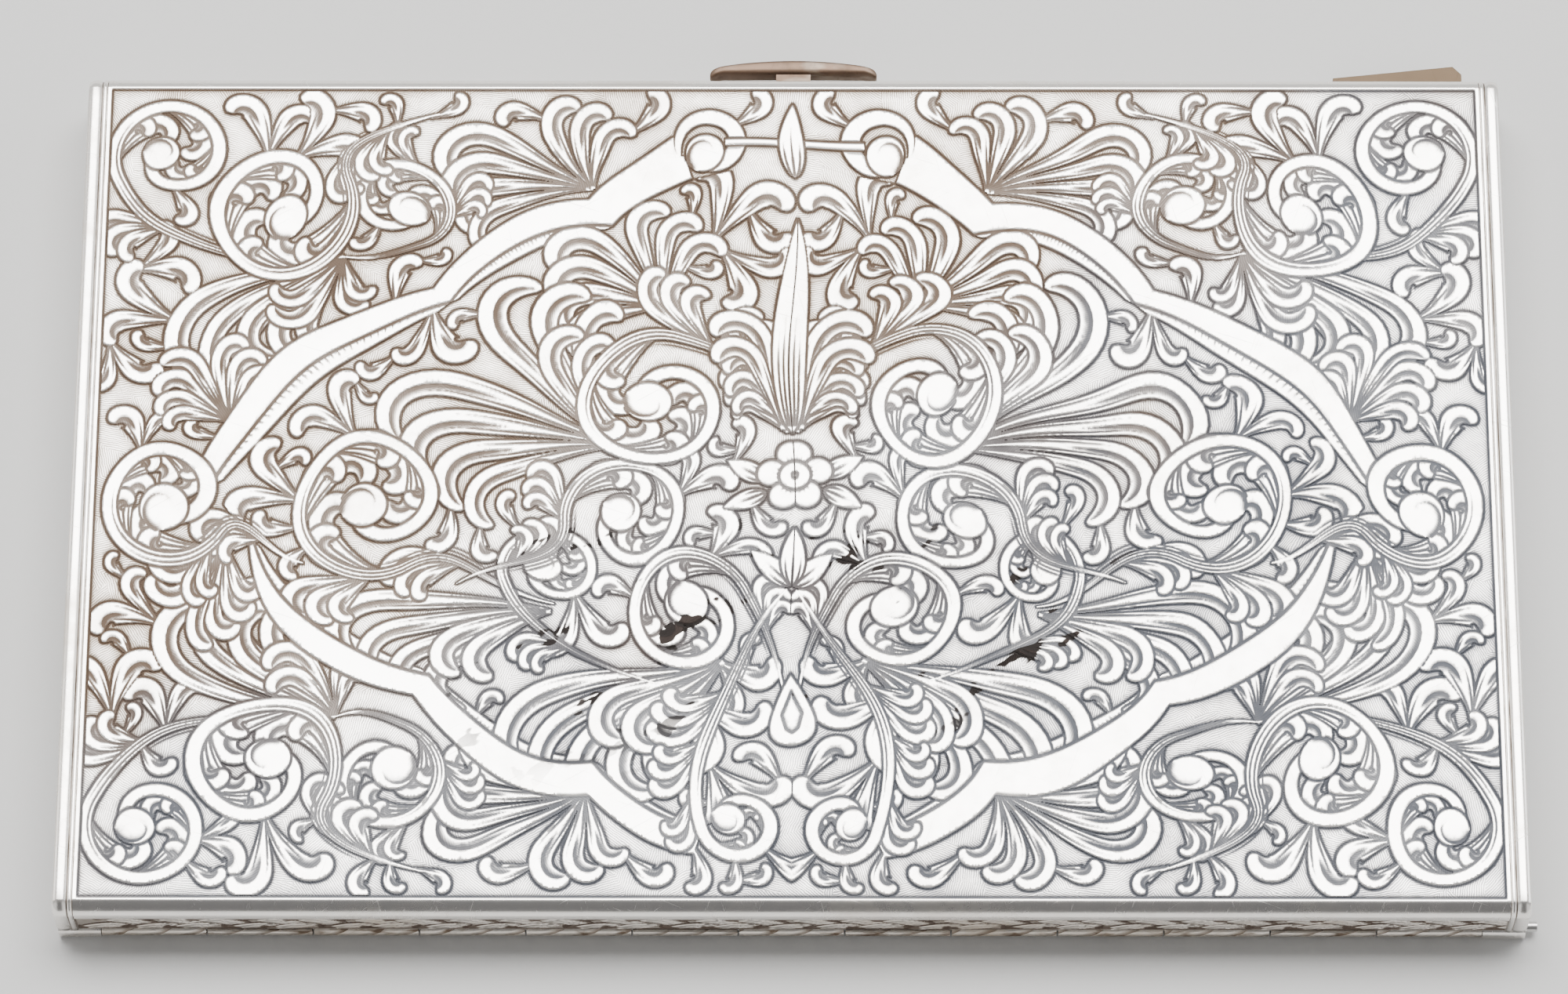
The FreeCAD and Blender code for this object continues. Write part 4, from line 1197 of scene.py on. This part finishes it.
for name, side in (("lid_front_strip", -1), ("lid_rear_strip", 1)):
    low, high = node_box(name)
    outer = low[1] if side < 0 else high[1]
    band = laurel((low[0], low[2]), (high[0], high[2]), (1100, 40))
    x, z = np.meshgrid(band.u, band.v)
    y = outer - side * (band.ground * LAUREL_DEPTH + band.cut)
    strip_points = np.stack([x, y, z], 2).reshape(-1, 3)
    wide = len(band.u)
    open_cells = np.zeros((len(band.v) - 1, wide - 1), bool)
    if side > 0:
        # open notches for the stem of the push bar and the stem of the leaf's tab
        for stem_name, gap in (("push_stem", 0.15), ("leaf_tab", 0.3)):
            stem_low, stem_high = node_box(stem_name)
            if stem_name == "leaf_tab":
                neck = (stem_low[0] + stem_high[0]) / 2
                stem_low[0], stem_high[0] = neck - TAB_NECK, neck + TAB_NECK
            cell_x = (band.u[:-1] + band.u[1:]) / 2
            cell_z = (band.v[:-1] + band.v[1:]) / 2
            open_cells |= ((cell_x > stem_low[0] - gap) & (cell_x < stem_high[0] + gap)
                           & (cell_z < stem_high[2] + NOTCH_OVER)[:, None])
    strip_faces = np.array(quads(np.argwhere(~open_cells), wide, side > 0))
    kept = np.unique(strip_faces)
    renumber = np.full(len(strip_points), -1)
    renumber[kept] = np.arange(len(kept))
    piece = mesh_piece(name + "_laurel", strip_points[kept], renumber[strip_faces].tolist(),
                       laurel_silver.material, "lid")
    for kind, values in (("cut", band.cut / CUT_DEPTH), ("ground", band.ground)):
        write_mark(piece, kind, values.reshape(-1)[kept])
    thicken(piece, STRIP_SHEET)
    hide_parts(name)

# ======== Lid end mouldings ========
# A reeded moulding drawn in silver, bent over each short end of the lid, mitred and soldered:
# a wide outer bead, a narrow reed and a groove where it meets the cover. It is hollow inside.

MOULD_SHEET = 0.45
GROOVE_SOIL = colour(0.13, 0.10, 0.08)
# across the moulding: distance from the cover, height against its highest line
MOULD = [(0.0, -0.08), (0.03, -0.10)]
for centre, half, drop in ((0.23, 0.17, 0.10), (0.90, 0.46, 0.16)):
    for a in np.linspace(-1, 1, 13):
        MOULD.append((centre + half * a, -drop * abs(a) ** 2.2))
MOULD += [(1.39, -0.20), (1.40, -0.26)]


def moulding_path(front, rear, foot, top, radius):
    """Points over the end from the front foot to the rear foot, with the way outwards."""
    path = [(front, z, -1.0, 0.0) for z in np.linspace(foot, top - radius, 8)]
    for a in np.linspace(0, pi / 2, 9)[1:]:
        path.append((front + radius - radius * max(cos(a), 0) ** ROLL_FLATTEN,
                     top - radius + radius * sin(a) ** ROLL_FLATTEN, -cos(a), sin(a)))
    path += [(y, top, 0.0, 1.0) for y in np.linspace(front + radius, rear - radius, 60)[1:]]
    for a in np.linspace(0, pi / 2, 9)[1:]:
        path.append((rear - radius + radius * sin(a) ** ROLL_FLATTEN,
                     top - radius + radius * max(cos(a), 0) ** ROLL_FLATTEN, sin(a), cos(a)))
    path += [(rear, z, 1.0, 0.0) for z in np.linspace(top - radius, foot, 8)[1:]]
    return path


reeded = polished("reeded_silver", SILVER, SILVER_TARNISHED, 0.2, 0.6)
groove = reeded.ramp(reeded.mark("cut"), 0.25, 0.9)
gap = reeded.clamp(groove * (reeded.noise(0.3, 3) * 1.2 + 0.25))
reeded.done(
    Base_Color=reeded.mix(gap, reeded.tone, GROOVE_SOIL),
    Roughness=reeded.rough + gap * 0.3)

for side, name in ((-1, "lid_end_band_left"), (1, "lid_end_band_right")):
    low, high = node_box(name)
    inner_x = high[0] if side < 0 else low[0]
    path = moulding_path(low[1], high[1], low[2], high[2], ROLL)
    ring = []
    for away, lift in MOULD:
        x = inner_x + side * away
        ring.append([(x, y + out_y * lift * (1 if abs(out_y) < 1 else 0.6), z + out_z * lift)
                     for y, z, out_y, out_z in path])
    moulding_points = [point for row in ring for point in row]
    count = len(path)
    moulding_faces = quads(np.ndindex(len(ring) - 1, count - 1), count, side > 0)
    last = (len(ring) - 1) * count
    cap = tuple(range(last, last + count))
    moulding_faces.append(cap[::-1] if side > 0 else cap)
    piece = mesh_piece(name + "_reeded", moulding_points, moulding_faces,
                       reeded.material, "lid", 50)
    in_groove = [float(away < 0.075 or 0.37 < away < 0.50) for away, _ in MOULD]
    write_mark(piece, "cut", np.repeat(in_groove, count))
    thicken(piece, MOULD_SHEET)
    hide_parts(name)

# ======== Push bar, stem and blade ========
# A crescent of rose gold-washed silver that stands out behind the case; its stem runs through
# the tray's wall to the toothed blade that holds the lid.

ROSE = colour(0.19, 0.13, 0.095)
ROSE_WORN = colour(0.10, 0.075, 0.055)
ROSE_RUBBED = colour(0.34, 0.285, 0.235)
rose_gilt = polished("rose_gilt", ROSE, ROSE_WORN, 0.5, 0.9)
bare = rose_gilt.ramp(rose_gilt.noise(0.45, 4, (0.4, 1, 1)), 0.47, 0.60)
rose_gilt.done(Base_Color=rose_gilt.mix(bare * 0.75, rose_gilt.tone, ROSE_RUBBED))
dress(rose_gilt.material, "push_stem")

BAR_BOW = 0.6            # mm, how far its back curves over its length
BAR_TURN_IN = 0.45       # how far its ends bend towards the case
bar_low, bar_high = node_box("push_bar")
bar_middle = (bar_low[0] + bar_high[0]) / 2
bar_half = (bar_high[0] - bar_low[0]) / 2
bar_heart = (bar_low[2] + bar_high[2]) / 2
bar_ring = np.linspace(0, 2 * pi, 36, endpoint=False)
ring_y = np.sign(np.cos(bar_ring)) * abs(np.cos(bar_ring)) ** 0.5
ring_z = np.sign(np.sin(bar_ring)) * abs(np.sin(bar_ring)) ** 0.5
bar_points = []
for share in np.sin(np.linspace(-pi / 2, pi / 2, 72)[1:-1]):
    back = bar_high[1] - BAR_BOW * share * share
    front = bar_low[1] - BAR_TURN_IN * np.clip((abs(share) - 0.82) / 0.18, 0, 1) ** 2
    fullness = (1 - abs(share) ** 14) ** 0.4
    y = (back + front) / 2 + ring_y * (back - front) / 2 * fullness
    z = bar_heart + ring_z * (bar_high[2] - bar_heart) * (0.2 + 0.8 * fullness)
    x = np.full(len(bar_ring), bar_middle + share * bar_half)
    bar_points += list(zip(x, y, z))
bar_faces = []
wide = len(bar_ring)
last = len(bar_points) - wide
for start in range(0, last, wide):
    for k in range(wide):
        after = (k + 1) % wide
        bar_faces.append((start + k, start + wide + k, start + wide + after, start + after))
bar_faces.append(tuple(range(wide)))
bar_faces.append(tuple(range(last, last + wide))[::-1])
crescent = mesh_piece("push_bar_crescent", bar_points, bar_faces, rose_gilt.material, "push_bar")
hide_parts("push_bar")
